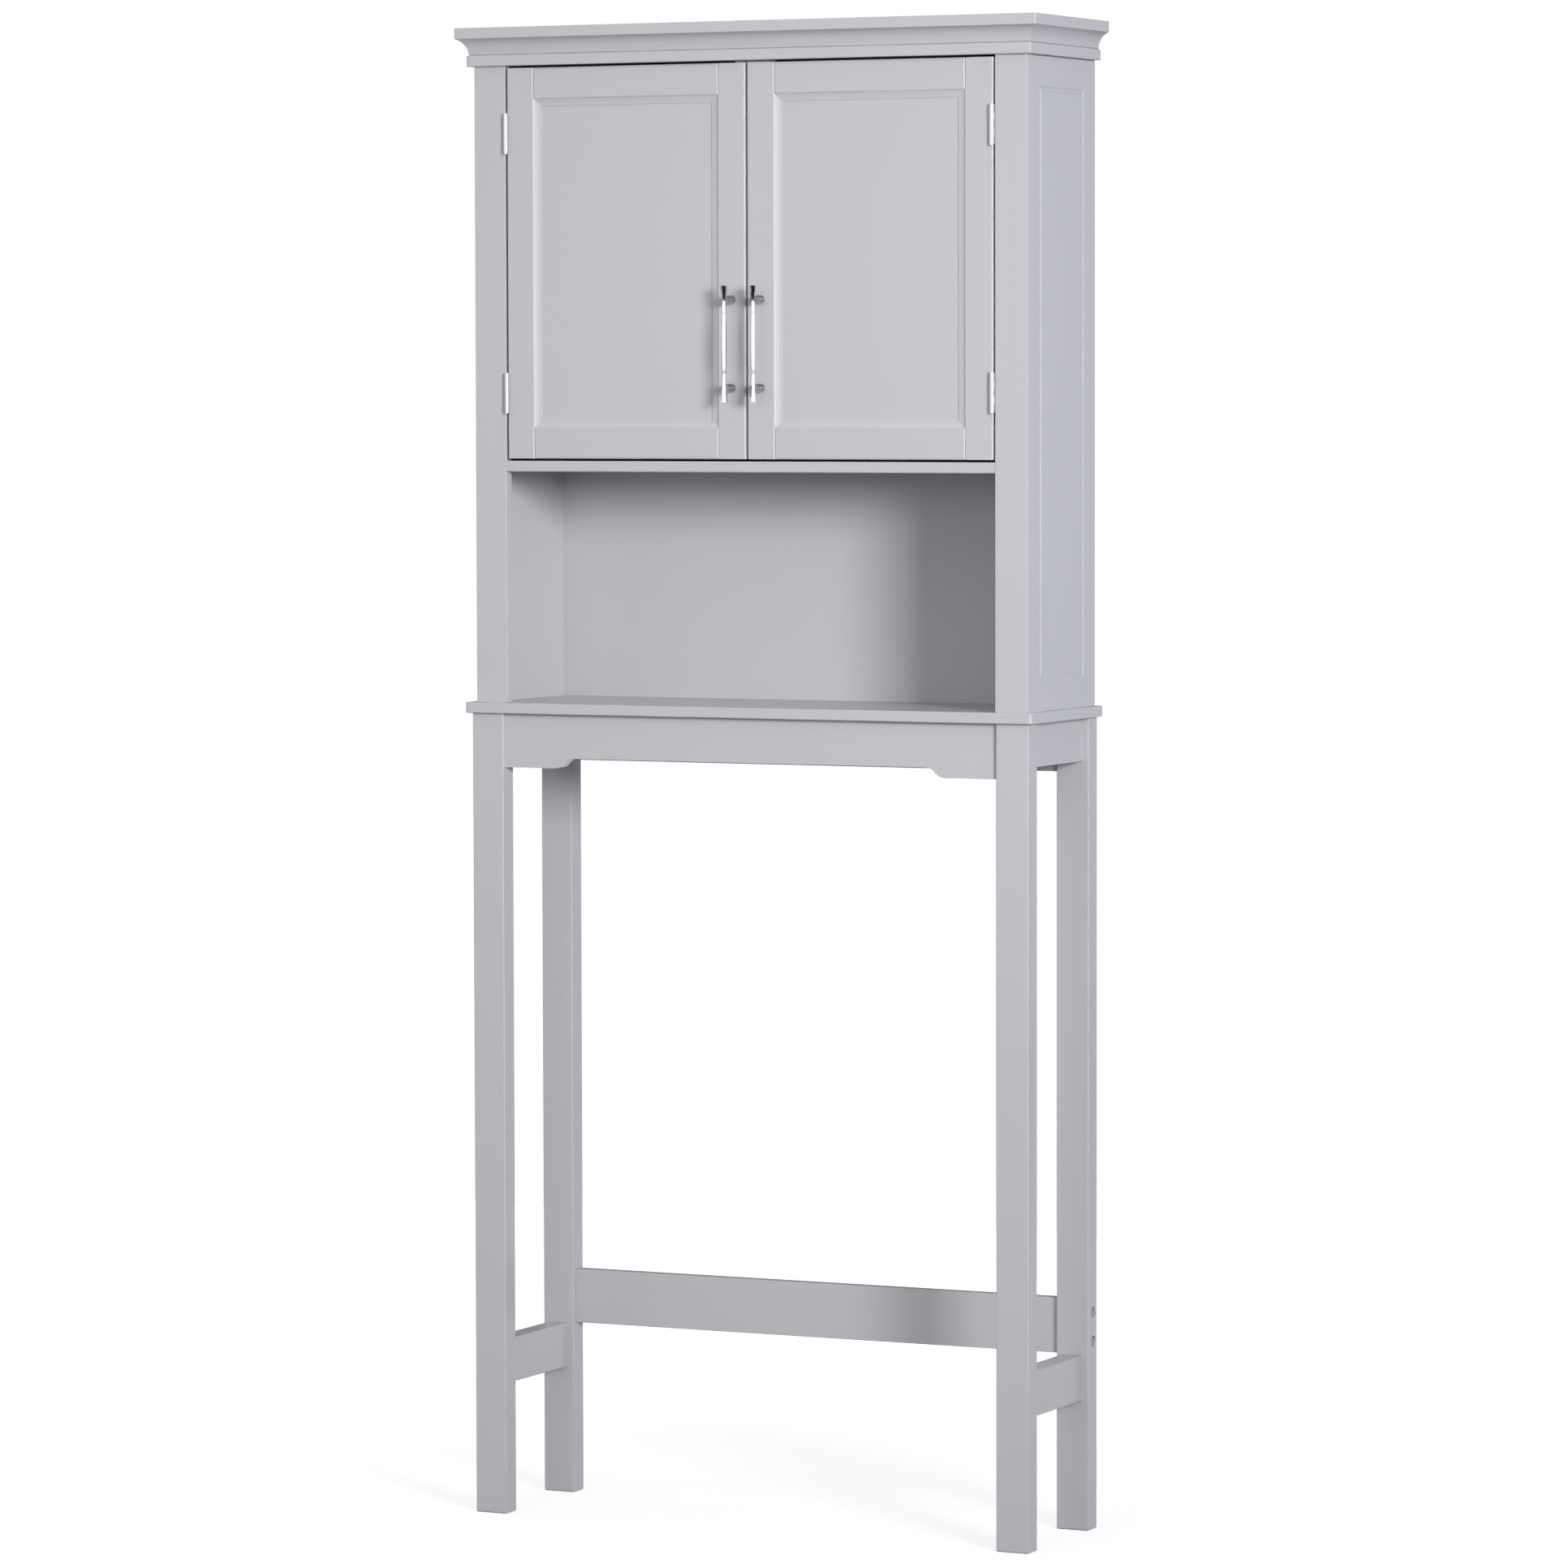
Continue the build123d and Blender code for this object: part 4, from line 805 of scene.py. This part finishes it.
def lamp(name, stage):
    """The key or the fill: a square soft box that faces the target and doesn't show in reflections."""
    size, spread, power, turn, height, distance = [
        getattr(stage, f"{name}_{setting}")
        for setting in ("size", "spread", "power", "turn", "height", "distance")]
    data = bpy.data.lights.new(name, "AREA")
    data.size = size
    data.spread = spread
    data.energy = power
    light = bpy.data.objects.new(name, data)
    away = direction(turn, height)
    light.location = Vector(stage.target) + distance * away
    light.rotation_euler = away.to_track_quat("Z", "Y").to_euler()
    light.visible_camera = False
    light.visible_glossy = False
    bpy.context.scene.collection.objects.link(light)


def room_light(tree, stage, across):
    """The light that falls on the rack: a bright room on the left, a dim one on the right, a far floor."""
    level = tree.mix(across.at_least(0.0), rgba(stage.left_light), rgba(stage.right_light))
    return tree.mix(across.output("Z").ramp(*FAR_FLOOR_DOWN), level, rgba(stage.far_floor))


def mirrored_room(tree, stage, directions, across):
    """What paint and metal mirror: a white front with a soft box, a dark room, a backdrop, a ceiling."""
    height = across.output("Z")
    key = direction(stage.key_turn, stage.key_height)
    toward_key = tree.vector("DOT_PRODUCT", directions, {1: key}, "Value")
    bright = tree.mix(toward_key.ramp(*SOFT_BOX_NEAR), WHITE, grey(stage.soft_box))
    raised = (height + FRONT_FALL * across).ramp(*FRONT_UP)
    in_front = tree.mix(raised, rgba(stage.room), bright)
    at_back = tree.mix(across.ramp(*BACKDROP_RIGHT), rgba(stage.ceiling), rgba(stage.backdrop))
    walls = tree.mix(across.output("Y").ramp(*BACKGROUND_BEHIND), in_front, at_back)
    return tree.mix(height.ramp(*CEILING_UP), walls, rgba(stage.ceiling))


def white_sweep(stage):
    """A world that the eye sees as white, with one room that lights the rack and another that it mirrors."""
    world = bpy.data.worlds.new("white_sweep")
    tree = ShaderTree(world)
    rays = tree.node("ShaderNodeLightPath", output="Is Camera Ray")
    seen = rays.at_least(rays.output("Is Transmission Ray"))
    directions = tree.node("ShaderNodeTexCoord", output="Generated")
    across = tree.node("ShaderNodeSeparateXYZ", None, {0: directions}, "X")
    light = room_light(tree, stage, across)
    mirrored = mirrored_room(tree, stage, directions, across)
    around = tree.mix(rays.output("Is Glossy Ray"), light, mirrored)
    colour = tree.mix(seen, around, WHITE)
    background = tree.node("ShaderNodeBackground", None, {"Color": colour})
    tree.node("ShaderNodeOutputWorld", None, {"Surface": background}, None)
    bpy.context.scene.world = world


def pale_floor(stage):
    """A white floor that shows the rack's shadow faintly."""
    material, tree = new_material("pale_floor")
    rays = tree.node("ShaderNodeLightPath", output="Is Camera Ray")
    seen = rays.at_least(rays.output("Is Glossy Ray")).at_least(rays.output("Is Transmission Ray"))
    place = tree.node("ShaderNodeTexCoord", output="Object")
    speckle = tree.noise(place, size=4 * MILLIMETRE)
    tint = tree.shades(speckle, [stage.floor_shade] * 3, darkest=0.97, palest=1.03)
    faded = tree.vector("LENGTH", place, None, "Value").ramp(0.0, stage.floor_reach)
    whiteness = tree.mix(faded ** 2, grey(stage.floor_glow), WHITE)
    glow = tree.node("ShaderNodeEmission", None, {"Color": whiteness})
    shaded = tree.node("ShaderNodeBsdfDiffuse", None, {"Color": tint})
    eye = tree.node("ShaderNodeAddShader", None, {0: glow, 1: shaded})
    bounce = tree.node("ShaderNodeBsdfDiffuse", None, {"Color": grey(stage.floor_bounce)})
    mixed = tree.node("ShaderNodeMixShader", None, {0: seen, 1: bounce, 2: eye})
    tree.node("ShaderNodeOutputMaterial", None, {"Surface": mixed}, None)
    mesh = bmesh.new()
    bmesh.ops.create_grid(mesh, x_segments=8, y_segments=8, size=stage.floor_size / 2)
    floor = mesh_object("floor", mesh)
    floor.data.materials.append(material)


def view_from(stage):
    """The camera, placed and turned as the photographer stood."""
    data = bpy.data.cameras.new("camera")
    data.sensor_width = SENSOR_WIDTH
    data.lens = stage.camera_lens
    data.clip_end = CLIP_END
    camera = bpy.data.objects.new("camera", data)
    back = direction(stage.camera_turn, -stage.camera_pitch)
    right = Vector((math.cos(stage.camera_turn), math.sin(stage.camera_turn), 0.0))
    upright = Matrix((right, back.cross(right), back)).transposed()
    turn = upright @ Matrix.Rotation(stage.camera_roll, 3, "Z")
    camera.matrix_world = Matrix.LocRotScale(Vector(stage.camera_place), turn.to_quaternion(), None)
    bpy.context.scene.collection.objects.link(camera)
    bpy.context.scene.camera = camera


class RACK_OT_set_stage(bpy.types.Operator):
    """Sets up the camera, the lamps, the white background and the floor"""

    bl_idname = "rack.set_stage"
    bl_label = "Set the stage"

    def execute(self, context):
        stage = context.scene.rack_stage
        context.scene.view_settings.view_transform = "Standard"
        view_from(stage)
        white_sweep(stage)
        pale_floor(stage)
        for name in ("key", "fill"):
            lamp(name, stage)
        return {"FINISHED"}


class RACK_PT_dressing(bpy.types.Panel):
    """Lists the rack's settings and steps"""

    bl_idname = "RACK_PT_dressing"
    bl_label = "Rack dressing"
    bl_space_type = "VIEW_3D"
    bl_region_type = "UI"
    bl_category = "Rack"

    def draw(self, context):
        for group in (context.scene.rack_finishes, context.scene.rack_screws, context.scene.rack_stage):
            box = self.layout.box()
            for name in group.__annotations__:
                box.prop(group, name)
        for operator in OPERATORS:
            self.layout.operator(operator.bl_idname)


GROUPS = {"rack_finishes": RackFinishes, "rack_screws": RackScrews, "rack_stage": RackStage}
OPERATORS = (
    RACK_OT_paint_woodwork,
    RACK_OT_plate_pulls,
    RACK_OT_plate_hinges,
    RACK_OT_finish_fittings,
    RACK_OT_set_stage,
)


def register():
    for name, group in GROUPS.items():
        bpy.utils.register_class(group)
        setattr(bpy.types.Scene, name, bpy.props.PointerProperty(type=group))
    for shown in (*OPERATORS, RACK_PT_dressing):
        bpy.utils.register_class(shown)


def unregister():
    for shown in (RACK_PT_dressing, *reversed(OPERATORS)):
        bpy.utils.unregister_class(shown)
    for name, group in GROUPS.items():
        delattr(bpy.types.Scene, name)
        bpy.utils.unregister_class(group)


def main():
    register()
    bpy.ops.rack.paint_woodwork()
    bpy.ops.rack.plate_pulls()
    bpy.ops.rack.plate_hinges()
    bpy.ops.rack.finish_fittings()
    bpy.ops.rack.set_stage()


if __name__ == "__main__":
    main()
